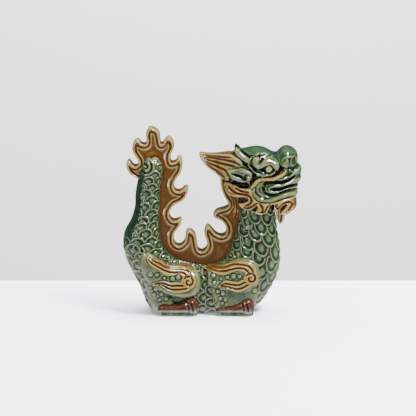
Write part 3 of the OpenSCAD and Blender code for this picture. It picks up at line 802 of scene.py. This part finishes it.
def slab_field(height, inside, blend=1.6, low=None, one_side=False):
    """The solid between two mirrored heights, or on the right above low, with its edges rounded."""
    def field(x, y, z):
        side = -y if one_side else np.abs(y)
        above = side - sample(height, x, z)
        f = smooth_max(above, 0.04 * above - sample(inside, x, z), blend)
        if low is not None:
            f = np.maximum(f, sample(low, x, z) - side)
        # The base is cut flat, its edge a little rounded.
        return smooth_max(f, -z, 0.6)
    return field


def paint(points, quads, added_pool_and_painted_light=None):
    """How thick the glaze lies: thin on ridges, average at 0, pooled in hollows, plus painted light where
    given.
    """
    near = hollows(points, quads, 6)
    wide = hollows(points, quads, 50)
    pool_and_painted_light = relief().pooling * (2.1 * near + 0.9 * wide)
    # The extra for a piece: more glaze in places, and painted shade or painted reflection in others.
    if added_pool_and_painted_light is not None:
        pool_and_painted_light = pool_and_painted_light + sample(added_pool_and_painted_light, points[:, 0], points[:, 2])
    return np.clip(pool_and_painted_light, -1.2, 1.5)


def make_piece(name, points, quads, pool_and_painted_light, tint=None):
    """A shaded mesh object from millimetre points, carrying its glaze thickness with painted light laid on
    it, and its second colour.

    The glaze never stands out past the casting's own box.
    """
    points = np.clip(points, np.array(CAD_BOX[0]) / MM, np.array(CAD_BOX[1]) / MM)
    name += "_surface"
    mesh = bpy.data.meshes.new(name)
    mesh.vertices.add(len(points))
    mesh.vertices.foreach_set("co", (points * MM).astype(np.float32).ravel())
    mesh.loops.add(quads.size)
    mesh.loops.foreach_set("vertex_index", quads.astype(np.int32).ravel())
    mesh.polygons.add(len(quads))
    mesh.polygons.foreach_set("loop_start", np.arange(0, quads.size, 4, dtype=np.int32))
    mesh.update(calc_edges=True)
    mesh.validate()
    mesh.shade_smooth()
    # The first value is glaze thickness with painted shade and painted reflection laid on it.
    for label, values in (("pool_and_painted_light", pool_and_painted_light), ("tint", np.zeros(len(points)) if tint is None else tint)):
        mesh.attributes.new(label, "FLOAT", "POINT").data.foreach_set("value", values.astype(np.float32))
    piece = bpy.data.objects.new(name, mesh)
    bpy.context.collection.objects.link(piece)
    return piece


def mirrored(points, quads):
    return points * [1, -1, 1], quads[:, ::-1]


def settle(piece, slot, *nodes):
    """Gives a piece its glaze, its body and the nodes it stands for."""
    piece.data.materials.append(finish_of(slot))
    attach(piece, "root")
    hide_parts(*nodes)
    return piece


# ---- Glazes ----


def linear(code):
    """A hex sRGB colour as linear RGBA."""
    parts = [int(code[i:i + 2], 16) / 255 for i in (1, 3, 5)]
    return [v / 12.92 if v <= 0.04045 else ((v + 0.055) / 1.055) ** 2.4 for v in parts] + [1.0]


def add_node(tree, kind, inputs=None, **settings):
    """Adds a node, sets its properties, and sets or links its inputs."""
    node = tree.nodes.new(kind)
    for key, value in settings.items():
        setattr(node, key, value)
    for key, value in (inputs or {}).items():
        if isinstance(value, bpy.types.NodeSocket):
            tree.links.new(value, node.inputs[key])
        else:
            node.inputs[key].default_value = value
    return node


def set_ramp(node, stops):
    ramp = node.color_ramp
    while len(ramp.elements) < len(stops):
        ramp.elements.new(0.5)
    for element, (place, colour) in zip(ramp.elements, stops):
        element.position = place
        element.color = [*colour, 1.0]


# How thick the glaze lies at each of a glaze's colours: 0 is bare ridge, 0.5 the average, 1 a full pool.
THICKNESS = [0.08, 0.32, 0.5, 0.7, 0.95]


def glaze(name, colours, second_colours, roughness=0.09, mottle=0.2, coat=0.25):
    """A lead glaze over stoneware, poured and fired: pale where thin on ridges, dark where it pools and where
    shade is painted in.

    The eye sees through a clear coloured coat: wet highlights over a mottled, washed colour. Bare clay has
    no coat.
    """
    material = bpy.data.materials.new(name)
    material.use_nodes = True
    tree = material.node_tree
    tree.nodes.clear()
    place = add_node(tree, "ShaderNodeTexCoord")
    # Glaze thickness, with painted shade in the head's hollows, the nostrils and the crest's join, and
    # painted reflection on chest and limbs.
    pool_and_painted_light = add_node(tree, "ShaderNodeAttribute", attribute_name="pool_and_painted_light")
    tint = add_node(tree, "ShaderNodeAttribute", attribute_name="tint")
    # Clouds 7 mm across come from the uneven coat.
    clouds = add_node(tree, "ShaderNodeTexNoise", {
        "Vector": place.outputs["Object"], "Scale": 1 / 0.007, "Detail": 3.0, "Roughness": 0.55})
    cloudy = add_node(tree, "ShaderNodeMapRange", {
        "Value": clouds.outputs["Fac"], "From Min": 0.3, "From Max": 0.7,
        "To Min": -mottle, "To Max": mottle})
    thickness_and_painted_light = add_node(tree, "ShaderNodeMath", {0: pool_and_painted_light.outputs["Fac"], 1: cloudy.outputs["Result"]},
                     operation="ADD")
    share = add_node(tree, "ShaderNodeMapRange", {
        "Value": thickness_and_painted_light.outputs["Value"], "From Min": -1.0, "From Max": 1.0, "To Min": 0.0, "To Max": 1.0})
    first = add_node(tree, "ShaderNodeValToRGB", {"Fac": share.outputs["Result"]})
    set_ramp(first, list(zip(THICKNESS, colours)))
    second = add_node(tree, "ShaderNodeValToRGB", {"Fac": share.outputs["Result"]})
    set_ramp(second, list(zip(THICKNESS, second_colours)))
    mix = add_node(tree, "ShaderNodeMix", data_type="RGBA")
    tree.links.new(tint.outputs["Fac"], mix.inputs[0])
    tree.links.new(first.outputs["Color"], mix.inputs[6])
    tree.links.new(second.outputs["Color"], mix.inputs[7])
    # Specks are iron in the clay: about 0.3 mm across, drawn at 0.9 mm so that they show.
    specks = add_node(tree, "ShaderNodeTexNoise", {
        "Vector": place.outputs["Object"], "Scale": 1 / 0.0009, "Detail": 2.0, "Roughness": 0.6})
    grain = add_node(tree, "ShaderNodeMapRange", {
        "Value": specks.outputs["Fac"], "From Min": 0.3, "From Max": 0.75, "To Min": 1.08, "To Max": 0.84})
    tone = add_node(tree, "ShaderNodeVectorMath", {
        0: mix.outputs[2], "Scale": grain.outputs["Result"]}, operation="SCALE")
    # The coat's surface undulates every 4 mm, which breaks the edges of the highlights.
    ripple = add_node(tree, "ShaderNodeTexNoise", {
        "Vector": place.outputs["Object"], "Scale": 1 / 0.004, "Detail": 1.0})
    bump = add_node(tree, "ShaderNodeBump", {
        "Height": ripple.outputs["Fac"], "Strength": 0.25, "Distance": 0.0004})
    shader = add_node(tree, "ShaderNodeBsdfPrincipled", {
        "Base Color": tone.outputs["Vector"], "Roughness": roughness, "IOR": 1.5,
        "Coat Weight": coat, "Coat Roughness": 0.03, "Coat IOR": 1.5, "Normal": bump.outputs["Normal"]})
    add_node(tree, "ShaderNodeOutputMaterial", {"Surface": shader.outputs["BSDF"]})
    return material


def matte(name, colour, roughness):
    """A pale board with a faint relief 3 mm across, as a press or a roller leaves it."""
    material = bpy.data.materials.new(name)
    material.use_nodes = True
    tree = material.node_tree
    tree.nodes.clear()
    place = add_node(tree, "ShaderNodeTexCoord")
    stipple = add_node(tree, "ShaderNodeTexNoise", {
        "Vector": place.outputs["Object"], "Scale": 1 / 0.003, "Detail": 2.0})
    bump = add_node(tree, "ShaderNodeBump", {
        "Height": stipple.outputs["Fac"], "Strength": 0.03, "Distance": 0.0003})
    shader = add_node(tree, "ShaderNodeBsdfPrincipled", {
        "Base Color": [*colour, 1.0], "Roughness": roughness, "Normal": bump.outputs["Normal"]})
    add_node(tree, "ShaderNodeOutputMaterial", {"Surface": shader.outputs["BSDF"]})
    return material


# ---- Settings ----


def colour_setting(label, code, note):
    return FloatVectorProperty(name=label, description=note, subtype="COLOR", size=3, min=0, max=1,
                               default=linear(code)[:3])


def length_setting(label, note, value, most, least=0):
    """A length, given in millimetres."""
    return FloatProperty(name=label, description=note, default=value * MM, min=least * MM, max=most * MM,
                         subtype="DISTANCE", unit="LENGTH")


def brightness_setting(label, note, value):
    return FloatProperty(name=label, description=note, default=value, min=0, max=5)


def power_setting(label, note, watts, most=200):
    return FloatProperty(name=label, description=note, default=watts, min=0, max=most, unit="POWER")


class GlazeSettings(bpy.types.PropertyGroup):
    """Colours of each glaze, from where it is thinnest to where it pools."""

    green_bare: colour_setting("Green, on Ridges", "#4f5235", "Copper green where it runs thin")
    green_thin: colour_setting("Green, Thin", "#303c23", "Copper green in a thin coat")
    green_even: colour_setting("Green", "#182c1b", "Copper green in an even coat")
    green_thick: colour_setting("Green, Thick", "#0a1c11", "Copper green in a thick coat")
    green_pool: colour_setting("Green, Pooled", "#040806", "Copper green where it pools")
    amber_bare: colour_setting("Amber, on Ridges", "#6d5f34", "Iron amber where it runs thin")
    amber_thin: colour_setting("Amber, Thin", "#574214", "Iron amber in a thin coat")
    amber_even: colour_setting("Amber", "#382509", "Iron amber in an even coat")
    amber_thick: colour_setting("Amber, Thick", "#3d1f08", "Iron amber in a thick coat")
    amber_pool: colour_setting("Amber, Pooled", "#3a1606", "Iron amber where it pools")
    brown_bare: colour_setting("Brown, on Ridges", "#3c2118", "Manganese brown where it runs thin")
    brown_even: colour_setting("Brown", "#200c08", "Manganese brown in an even coat")
    brown_pool: colour_setting("Brown, Pooled", "#0b0403", "Manganese brown where it pools")
    eye_white: colour_setting("Eye", "#7c7d55", "White slip of the eyeball")
    pupil: colour_setting("Pupil", "#4a2509", "Amber dot on the eyeball")
    clay: colour_setting("Clay", "#b39f7c", "Unglazed clay under the belly")


class ReliefSettings(bpy.types.PropertyGroup):
    """How deep the modelling is."""

    scale_depth: length_setting("Scale Depth", "Rise of a scale's rim off the body", 0.85, 2)
    groove_depth: length_setting("Strand Groove Depth", "Depth of the grooves in scrolls and mane", 1.5, 3)
    pearl_height: length_setting("Pearl Height", "Rise of a pearl off the flank", 1.5, 3)
    scroll_rise: length_setting("Scroll Rise", "How far the scrolls stand off haunch and shoulder",
                                1.4, 2, 0.5)
    pooling: FloatProperty(name="Pooling", description="How strongly the glaze thins on ridges and pools",
                           default=1.0, min=0, max=2, subtype="FACTOR")


class StageSettings(bpy.types.PropertyGroup):
    """Camera, boards and lights."""

    camera_distance: length_setting("Camera Distance", "From the camera to the figure's middle",
                                    1200, 5000, 500)
    camera_tilt: FloatProperty(name="Camera Tilt", description="How far the camera looks down",
                               default=math.radians(12), min=0, max=1, subtype="ANGLE", unit="ROTATION")
    focal_length: FloatProperty(name="Focal Length", description="In millimetres on a 36 mm sensor",
                                default=131.2, min=20, max=300)
    table: colour_setting("Table", "#eceef5", "White laminate table")
    wall: colour_setting("Wall", "#e5e5e4", "Pale wall behind the table")
    room_strength: brightness_setting("Room Light", "Brightness of the room's even light", 1.35)
    room_shade: brightness_setting("Room Shade", "Brightness of the room as the glaze mirrors it", 0.16)
    table_glow: brightness_setting("Table Glow", "Brightness of the table as the glaze mirrors it", 3.6)
    window_power: power_setting("Window Power", "Of the soft window overhead", 46)
    strip_power: power_setting("Strip Power", "Of the narrow window on the left", 6)
    wash_power: power_setting("Wall Wash", "Of the light over table and wall", 100, 400)


def relief():
    return bpy.context.scene.dragon_relief


def green_colours():
    g = bpy.context.scene.dragon_glazes
    return [g.green_bare, g.green_thin, g.green_even, g.green_thick, g.green_pool]


def amber_colours():
    g = bpy.context.scene.dragon_glazes
    return [g.amber_bare, g.amber_thin, g.amber_even, g.amber_thick, g.amber_pool]


@lru_cache(maxsize=None)
def finish_of(slot):
    """The material of one of the record's slots."""
    g = bpy.context.scene.dragon_glazes
    brown = [g.brown_bare, g.brown_bare, g.brown_even, g.brown_even, g.brown_pool]
    eye = [g.eye_white, g.eye_white, g.eye_white, g.green_thick, g.green_pool]
    if slot == "green_glaze":
        # Poured: grey-green over the ridges, bottle green in an even coat, nearly black in the hollows.
        return glaze("Copper Green Lead Glaze, Poured", green_colours(), amber_colours())
    if slot == "amber_glaze":
        # Brushed: straw on the rims, honey brown in the fields, red-brown in the grooves.
        return glaze("Iron Amber Lead Glaze, Brushed", amber_colours(), green_colours())
    if slot == "brown_glaze":
        # Brushed thick and uneven: the most mottled and the wettest of the glazes.
        return glaze("Manganese Brown Glaze, Brushed", brown, green_colours(), roughness=0.05,
                     mottle=0.45, coat=0.6)
    if slot == "eye_glaze":
        # A pale ball with an amber dot under a thin clear coat.
        return glaze("Clear Glaze over White Slip, Dotted", eye, [g.pupil] * 5, mottle=0.05)
    # Dry and matt, the colour of the clay itself.
    dry = [g.clay] * 5
    return glaze("Buff Stoneware, Fired Bare", dry, dry, roughness=0.75, coat=0.0)


# ---- Pieces ----


def both_sides(name, points, quads, pool_and_painted_light, tint, slot):
    """A right piece and its mirror image on the left."""
    for side in ("right", "left"):
        label = name.format(side)
        p, q = (points, quads) if side == "right" else mirrored(points, quads)
        settle(make_piece(label, p, q, pool_and_painted_light, tint), slot, label)


def on_flank(name, slot, height, inside, low, high, tint=None, blend=1.0, under=2.6, added_pool_and_painted_light=None):
    """A pair of pieces that stand on the flank: a skin on the right and its mirror image."""
    points, quads = skin(slab_field(height, inside, blend, height - under, True), low, high)
    pool_and_painted_light = paint(points, quads, added_pool_and_painted_light)
    values = None if tint is None else sample(tint, points[:, 0], points[:, 2])
    both_sides(name + "_{}", points, quads, pool_and_painted_light, values, slot)


def across(name, slot, height, inside, low, high, tint=None, blend=1.6, added_pool_and_painted_light=None, edge_pool=0.0,
           cell=CELL):
    """A piece that crosses the middle: a skin with both its faces. The glaze can pool on its upward edge."""
    points, quads = skin(slab_field(height, inside, blend), low, high, cell)
    pool_and_painted_light = paint(points, quads, added_pool_and_painted_light)
    if edge_pool:
        up = smooth_step(0.5, 0.9, normals_of(points, quads)[:, 2])
        filled = sample(blurred((inside > 0).astype(float), 2.4), points[:, 0], points[:, 2])
        notch = smooth_step(0.48, 0.6, filled)
        pool_and_painted_light = pool_and_painted_light + edge_pool * up * notch * smooth_step(6.0, 3.6, np.abs(points[:, 1]))
    values = None if tint is None else sample(tint, points[:, 0], points[:, 2])
    settle(make_piece(name, points, quads, pool_and_painted_light, values), slot, name)


def band_depth(path, width, taper=0.12):
    """Distance inside a band of the given half width round a path."""
    near, along = trace(curve(path), 8.0)
    half = width * np.sqrt(np.clip(np.minimum(along, 1 - along) / taper, 0.1, 1))
    return half - near


class BuildBody(bpy.types.Operator):
    """Casts the two flanks of the body with their scales."""

    bl_idname = "dragon.body"
    bl_label = "Body Halves"

    def execute(self, context):
        points, quads, deep = body_grid(relief().scale_depth / MM)
        # Paler low on the chest: partly a thin run of glaze, partly painted reflection of the table.
        chest = smooth_step(40, 60, points[:, 0]) * smooth_step(92, 60, points[:, 2])
        pool_and_painted_light = paint(points, quads) + 0.45 * deep - 0.3 * chest
        both_sides("body_{}_shell", points, quads, pool_and_painted_light, None, "green_glaze")
        return {"FINISHED"}


class BuildFloor(bpy.types.Operator):
    """Closes the belly with an unglazed slab that has a vent bore."""

    bl_idname = "dragon.belly_floor"
    bl_label = "Belly Floor"

    def execute(self, context):
        middle, half_length, half_width = -6.5, 36, 11.8
        thickness = vent_radius = 4.0

        def field(x, y, z):
            r = (np.abs(x - middle) / half_length) ** SQUARENESS + (np.abs(y) / half_width) ** SQUARENESS
            outline = (np.maximum(r, 1e-9) ** (1 / SQUARENESS) - 1) * half_width
            f = smooth_max(outline, np.maximum(z - thickness, -z), 0.4)
            return np.maximum(f, vent_radius - np.hypot(x, y))

        points, quads = skin(field, [-45, -14, -1], [32, 14, 5], CELL * 1.6)
        piece = make_piece("belly_floor", points, quads, paint(points, quads))
        settle(piece, "bare_clay", "belly_floor")
        return {"FINISHED"}


class BuildCrest(bpy.types.Operator):
    """Cuts the flame crest: a bead along its edge, a groove and a ridge inside it."""

    bl_idname = "dragon.flame_crest"
    bl_label = "Flame Crest"

    def execute(self, context):
        height, inside = crest_plan()
        # Painted shade, over some pooled glaze, in a band 1.5 mm wide where the crest runs into the body.
        near, _ = trace(rings(120, 3)[0][:, 0][:, [0, 2]], 3.0)
        added_pool_and_painted_light = 0.8 * np.clip(1 - near / 1.5, 0, 1)
        across("flame_crest", "amber_glaze", height, inside, [-69, -8, 28], [31, 8, 150.5],
               blend=1.1, added_pool_and_painted_light=added_pool_and_painted_light, edge_pool=1.5, cell=1.22 * CELL)
        return {"FINISHED"}


class BuildPlume(bpy.types.Operator):
    """Combs the plume that sweeps back from the head."""

    bl_idname = "dragon.mane_plume"
    bl_label = "Mane Plume"

    def execute(self, context):
        height = np.interp(PLAN_X, *PLUME_DEPTHS)
        for path in PLUME_GROOVES:
            height = height + stroke(path, 1.2, -relief().groove_depth / MM, taper=0.2)
        inside = blunted(depth_inside(pointed(PLUME_EDGE, 6), 8))
        across("mane_plume", "amber_glaze", blurred(height, 0.25), inside, [-12, -18, 102],
               [26, 18, 130.5], smooth_step(17.5, 23.5, PLAN_X), 2.0)
        return {"FINISHED"}


class BuildHead(bpy.types.Operator):
    """Models the skull with its lips, the nose and the lower jaw."""

    bl_idname = "dragon.head"
    bl_label = "Head, Nose and Jaw"

    def execute(self, context):
        inside = np.minimum(depth_inside(curve(HEAD_EDGE, 3, True), 10), face_plan()[1])
        # The head a little darker overall, and its hollows darker still: painted shade over the pooled glaze.
        across("head", "green_glaze", head_plan(), inside, [6, -20, 94], [72, 20, 135.5], blend=1.2,
               added_pool_and_painted_light=0.22 + 0.4 * hollow_plan())
        # The nostril is darker too: painted shade over the pooled glaze.
        across("nose", "green_glaze", *nose_plan(), [49, -20, 115], [69, 20, 135.5], blend=2.4,
               added_pool_and_painted_light=0.22 + stroke(NOSTRIL, 1.6, 1.3))
        across("lower_jaw", "green_glaze", *jaw_plan(), [28, -20, 88], [69, 20, 109], blend=1.4)
        return {"FINISHED"}


class BuildFeatures(bpy.types.Operator):
    """Adds the pairs of brows, ears, horns and lip bands."""

    bl_idname = "dragon.features"
    bl_label = "Brows, Ears, Horns and Lip Bands"

    def execute(self, context):
        face, _ = face_plan()
        d = depth_inside(curve(BROW_EDGE, 5, True), 6)
        brow = blurred(face + 0.9 + 1.9 * rounded(np.clip(d, 0, None), 3.0), 0.2)
        on_flank("brow", "green_glaze", brow, d, [28, -23, 112], [56, -8, 131], under=4)
        d = depth_inside(curve(EAR_EDGE, 5, True), 6)
        ear = np.maximum(face, 13.6) + 1.6 + 1.2 * rounded(np.clip(d, 0, None), 2.0)
        ear += stroke(EAR_HOLLOW, 1.4, -2.8, 0.25) + stroke(EAR_CURL, 1.2, 0.7, 0.2)
        ear += pearl(27.7, 111, 1.2, 1.2)
        on_flank("ear", "green_glaze", blurred(ear, 0.22), d, [10, -23, 104], [33, -5, 120], under=7)
        d = band_depth(LIP_BAND, 1.4, 0.1)
        band = face + 0.9 + 1.0 * rounded(np.clip(d, 0, None), 1.4)
        on_flank("lip_band", "amber_glaze", band, d, [27, -22, 99], [60, -8, 120], under=3.5,
                 added_pool_and_painted_light=np.full(PLAN_X.shape, 0.25))
        d = band_depth(HORN, 2.0, 0.14)
        horn = np.interp(PLAN_Z, *HORN_DEPTHS) + 1.0 * rounded(np.clip(d, 0, None), 2.0)
        on_flank("horn", "green_glaze", horn, d, [14, -18, 119], [32, -7, 138.5], under=4.4)
        return {"FINISHED"}


class BuildEyes(bpy.types.Operator):
    """Sets the eyeballs in their slits."""

    bl_idname = "dragon.eyes"
    bl_label = "Eyes"

    def execute(self, context):
        x, z = EYEBALL
        r = np.hypot(PLAN_X - x, PLAN_Z - z)
        rest = float(sample(face_plan()[0], np.array(x), np.array(z)))
        ball = rest - 1.4 + 2.2 * np.sqrt(np.clip(1 - (r / 2.6) ** 2, 0, 1))
        on_flank("eye", "eye_glaze", ball, 2.5 - r, [40, -21, 113], [48, -8, 122],
                 tint=smooth_step(0.95, 0.45, r), blend=0.4, under=3)
        return {"FINISHED"}


class BuildBeard(bpy.types.Operator):
    """Curls the two halves of the beard and the tuft between them."""

    bl_idname = "dragon.beard"
    bl_label = "Beard and Chin Tuft"

    def execute(self, context):
        d = depth_inside(pointed(BEARD_EDGE, 5), 8)
        height = np.interp(PLAN_X, *BEARD_DEPTHS) + 0.8 * rounded(np.clip(d, 0, None), 1.4)
        for path in BEARD_GROOVES:
            height = height + stroke(path, 1.2, -1.9, taper=0.12)
        front = depth_inside(curve(FACE, 4, True), 16)
        height = blurred(height * (0.4 + 0.6 * rounded(front, 6.0)), 0.22)
        on_flank("beard", "amber_glaze", height, d, [7, -23.4, 78], [69, 0, 108], under=9,
                 added_pool_and_painted_light=np.full(PLAN_X.shape, 0.15))
        d = depth_inside(curve(CHIN_TUFT, 5, True), 6)
        height = 3.0 + 4.0 * smooth_step(71, 86, PLAN_Z) + stroke([[54, 73], [54.6, 80], [54, 88]], 1.0, -1.2)
        height = height + stroke([[52.4, 76], [52.2, 82], [51, 88]], 0.8, -1.0)
        across("chin_tuft", "amber_glaze", blurred(height, 0.3), d, [46, -9, 69], [62, 9, 90], blend=2.0)
        return {"FINISHED"}


class BuildLimbs(bpy.types.Operator):
    """Swells haunches and shoulders out of the flanks and beads them with pearls."""

    bl_idname = "dragon.limbs"
    bl_label = "Haunches and Shoulders"

    def execute(self, context):
        _, off = limb_plan()
        for name, side, low, high in (
                ("haunch", -7.0 - PLAN_X, [-58, -BOX_Y, 1], [-6, -6, 57]),
                ("shoulder", PLAN_X + 3.0, [-4, -BOX_Y, 1], [40, -6, 48])):
            # Paler all over: partly thin glaze, partly painted reflection of the table.
            on_flank(name, "green_glaze", pearled_plan(), np.minimum((off - 0.5) * 1.5, side), low, high,
                     under=9, blend=0.5, added_pool_and_painted_light=np.full(PLAN_X.shape, -0.2))
        return {"FINISHED"}


class BuildScrolls(bpy.types.Operator):
    """Lays the cloud scrolls over haunch and shoulder."""

    bl_idname = "dragon.scrolls"
    bl_label = "Cloud Scrolls"

    def execute(self, context):
        body, off = limb_plan()
        rise = relief().scroll_rise / MM
        for name, plan, low, high in (
                ("hind_scroll", hind_scroll_plan(), [-57, -BOX_Y, 18], [-10, -8, 58]),
                ("fore_scroll", fore_scroll_plan(), [-11, -BOX_Y, 18], [38, -8, 48])):
            h, d = plan
            top = np.minimum(blurred(body + off, 1.0) + rise + h, BOX_Y - 0.2)
            on_flank(name, "amber_glaze", top, d + 0.2, low, high, blend=0.8, under=5,
                     tint=0.6 * smooth_step(0.8, -0.3, d))
        return {"FINISHED"}


class BuildFeet(bpy.types.Operator):
    """Shapes the feet with their toes and leaves a green band round each sole."""

    bl_idname = "dragon.feet"
    bl_label = "Feet"

    def execute(self, context):
        line = 4.6 + 0.7 * np.sin(PLAN_X * 0.6)
        sole = smooth_step(line + 0.5, line - 0.5, PLAN_Z)
        pools = 0.6 * sole * smooth_step(0.3, 0.95, np.sin(PLAN_X * 0.45)) - 0.35 * sole
        for name, edge, low, high, ball, toes in (
                ("hind_foot", HIND_FOOT, [-45, -BOX_Y, 0], [-9, -6, 17], [-15.4, 9], (-20.4, -17.0, -13.8)),
                ("fore_foot", FORE_FOOT, [2, -BOX_Y, 0], [35, -6, 16], [28, 8.6], (23.0, 26.4, 29.6))):
            d = depth_inside(curve(edge, 5, True), 8)
            height = 14.4 + 5.4 * rounded(d, 2.4)
            height = height + 1.5 * rounded(d, 5.5) * smooth_step(3.2, 5.4, PLAN_Z)
            height = np.maximum(height, 18.6 + pearl(ball[0], ball[1], 6.6, 4.4) * np.minimum(1, d / 2))
            for x in toes:
                groove = [[x - 0.8, 12.2], [x + 1.6, 9.0], [x + 2.2, 3.6]]
                height = height + stroke(groove, 0.9, -1.6, taper=0.4)
            on_flank(name, "brown_glaze", blurred(np.minimum(height, BOX_Y - 0.3), 0.3), d, low, high,
                     tint=sole, under=11, added_pool_and_painted_light=pools)
        return {"FINISHED"}


# ---- Stage ----

FIGURE_MIDDLE = Vector((-3.2, 0.0, 83.5))
TABLE_END = 92  # y of the table's far edge
WALL_PLACE = 900  # y of the wall


def board(name, corners, material):
    """A flat piece of the stage that the glaze does not mirror."""
    mesh = bpy.data.meshes.new(name)
    mesh.from_pydata([[c * MM for c in corner] for corner in corners], [], [list(range(len(corners)))])
    piece = bpy.data.objects.new(name, mesh)
    bpy.context.collection.objects.link(piece)
    mesh.materials.append(material)
    piece.visible_glossy = False


def soft_light(name, place, aim, size, power, mirrored_in_glaze=True):
    """A rectangular lamp that faces its aim."""
    data = bpy.data.lights.new(name, "AREA")
    data.shape = "RECTANGLE"
    data.size, data.size_y = size[0] * MM, size[1] * MM
    data.energy = power
    lamp = bpy.data.objects.new(name, data)
    bpy.context.collection.objects.link(lamp)
    lamp.visible_glossy = mirrored_in_glaze
    lamp.location = Vector(place) * MM
    lamp.rotation_euler = (Vector(aim) - Vector(place)).to_track_quat("-Z", "Y").to_euler()


def room(strength, shade, glow):
    """An even light tent. The glaze mirrors its dim inside, and below the horizon the glow of the table."""
    world = bpy.data.worlds.new("room")
    world.use_nodes = True
    tree = world.node_tree
    tree.nodes.clear()
    ray = add_node(tree, "ShaderNodeLightPath")
    way = add_node(tree, "ShaderNodeTexCoord")
    rise = add_node(tree, "ShaderNodeSeparateXYZ", {"Vector": way.outputs["Generated"]})
    mirrored = add_node(tree, "ShaderNodeMapRange", {
        "Value": rise.outputs["Z"], "From Min": -0.9, "From Max": -0.2, "To Min": glow, "To Max": shade})
    level = add_node(tree, "ShaderNodeMix", {
        0: ray.outputs["Is Glossy Ray"], 2: strength, 3: mirrored.outputs["Result"]}, data_type="FLOAT")
    sky = add_node(tree, "ShaderNodeBackground", {"Color": linear("#f2f3f5"), "Strength": level.outputs[0]})
    add_node(tree, "ShaderNodeOutputWorld", {"Surface": sky.outputs["Background"]})
    return world


class BuildStage(bpy.types.Operator):
    """Sets the camera, the table, the wall and the lights."""

    bl_idname = "dragon.stage"
    bl_label = "Stage"

    def execute(self, context):
        stage = context.scene.dragon_stage
        data = bpy.data.cameras.new("camera")
        data.lens = stage.focal_length
        data.sensor_width = 36.0
        data.clip_start, data.clip_end = 0.05, 20
        camera = bpy.data.objects.new("camera", data)
        context.collection.objects.link(camera)
        tilt = stage.camera_tilt
        aim = FIGURE_MIDDLE * MM
        camera.location = aim + Vector((0, -math.cos(tilt), math.sin(tilt))) * stage.camera_distance
        camera.rotation_euler = (math.radians(90) - tilt, 0, 0)
        context.scene.camera = camera
        table = matte("White Laminate, Pressed Smooth", stage.table, 0.45)
        wall = matte("White Emulsion, Rolled", stage.wall, 0.9)
        board("table", [[-3000, -3000, 0], [3000, -3000, 0], [3000, TABLE_END, 0], [-3000, TABLE_END, 0]],
              table)
        board("wall", [[-4000, WALL_PLACE, -2500], [4000, WALL_PLACE, -2500], [4000, WALL_PLACE, 3500],
                       [-4000, WALL_PLACE, 3500]], wall)
        context.scene.world = room(stage.room_strength, stage.room_shade, stage.table_glow)
        soft_light("window", [430, -260, 1000], [0, 0, 60], [300, 240], stage.window_power)
        soft_light("strip", [-850, -950, 260], [0, 0, 80], [40, 800], stage.strip_power)
        soft_light("wash", [0, 350, 1700], [0, 350, 0], [1800, 900], stage.wash_power, False)
        return {"FINISHED"}


# ---- Add-on ----

OPERATORS = [BuildStage, BuildBody, BuildFloor, BuildCrest, BuildPlume, BuildHead, BuildFeatures,
             BuildEyes, BuildBeard, BuildLimbs, BuildScrolls, BuildFeet]
SETTINGS = {"dragon_glazes": GlazeSettings, "dragon_relief": ReliefSettings, "dragon_stage": StageSettings}


class DragonPanel(bpy.types.Panel):
    """Lists the pieces in the order they are made, and the settings."""

    bl_idname = "VIEW3D_PT_dragon"
    bl_label = "Dragon Figurine"
    bl_space_type = "VIEW_3D"
    bl_region_type = "UI"
    bl_category = "Dragon"

    def draw(self, context):
        for operator in OPERATORS:
            self.layout.operator(operator.bl_idname)
        for name, settings in SETTINGS.items():
            box = self.layout.box()
            for key in settings.__annotations__:
                box.prop(getattr(context.scene, name), key)


def register():
    for part in [*SETTINGS.values(), *OPERATORS, DragonPanel]:
        bpy.utils.register_class(part)
    for name, settings in SETTINGS.items():
        setattr(bpy.types.Scene, name, PointerProperty(type=settings))


def unregister():
    for name in SETTINGS:
        delattr(bpy.types.Scene, name)
    for part in reversed([*SETTINGS.values(), *OPERATORS, DragonPanel]):
        bpy.utils.unregister_class(part)


def main():
    register()
    for operator in OPERATORS:
        family, name = operator.bl_idname.split(".")
        getattr(getattr(bpy.ops, family), name)()


if __name__ == "__main__":
    main()
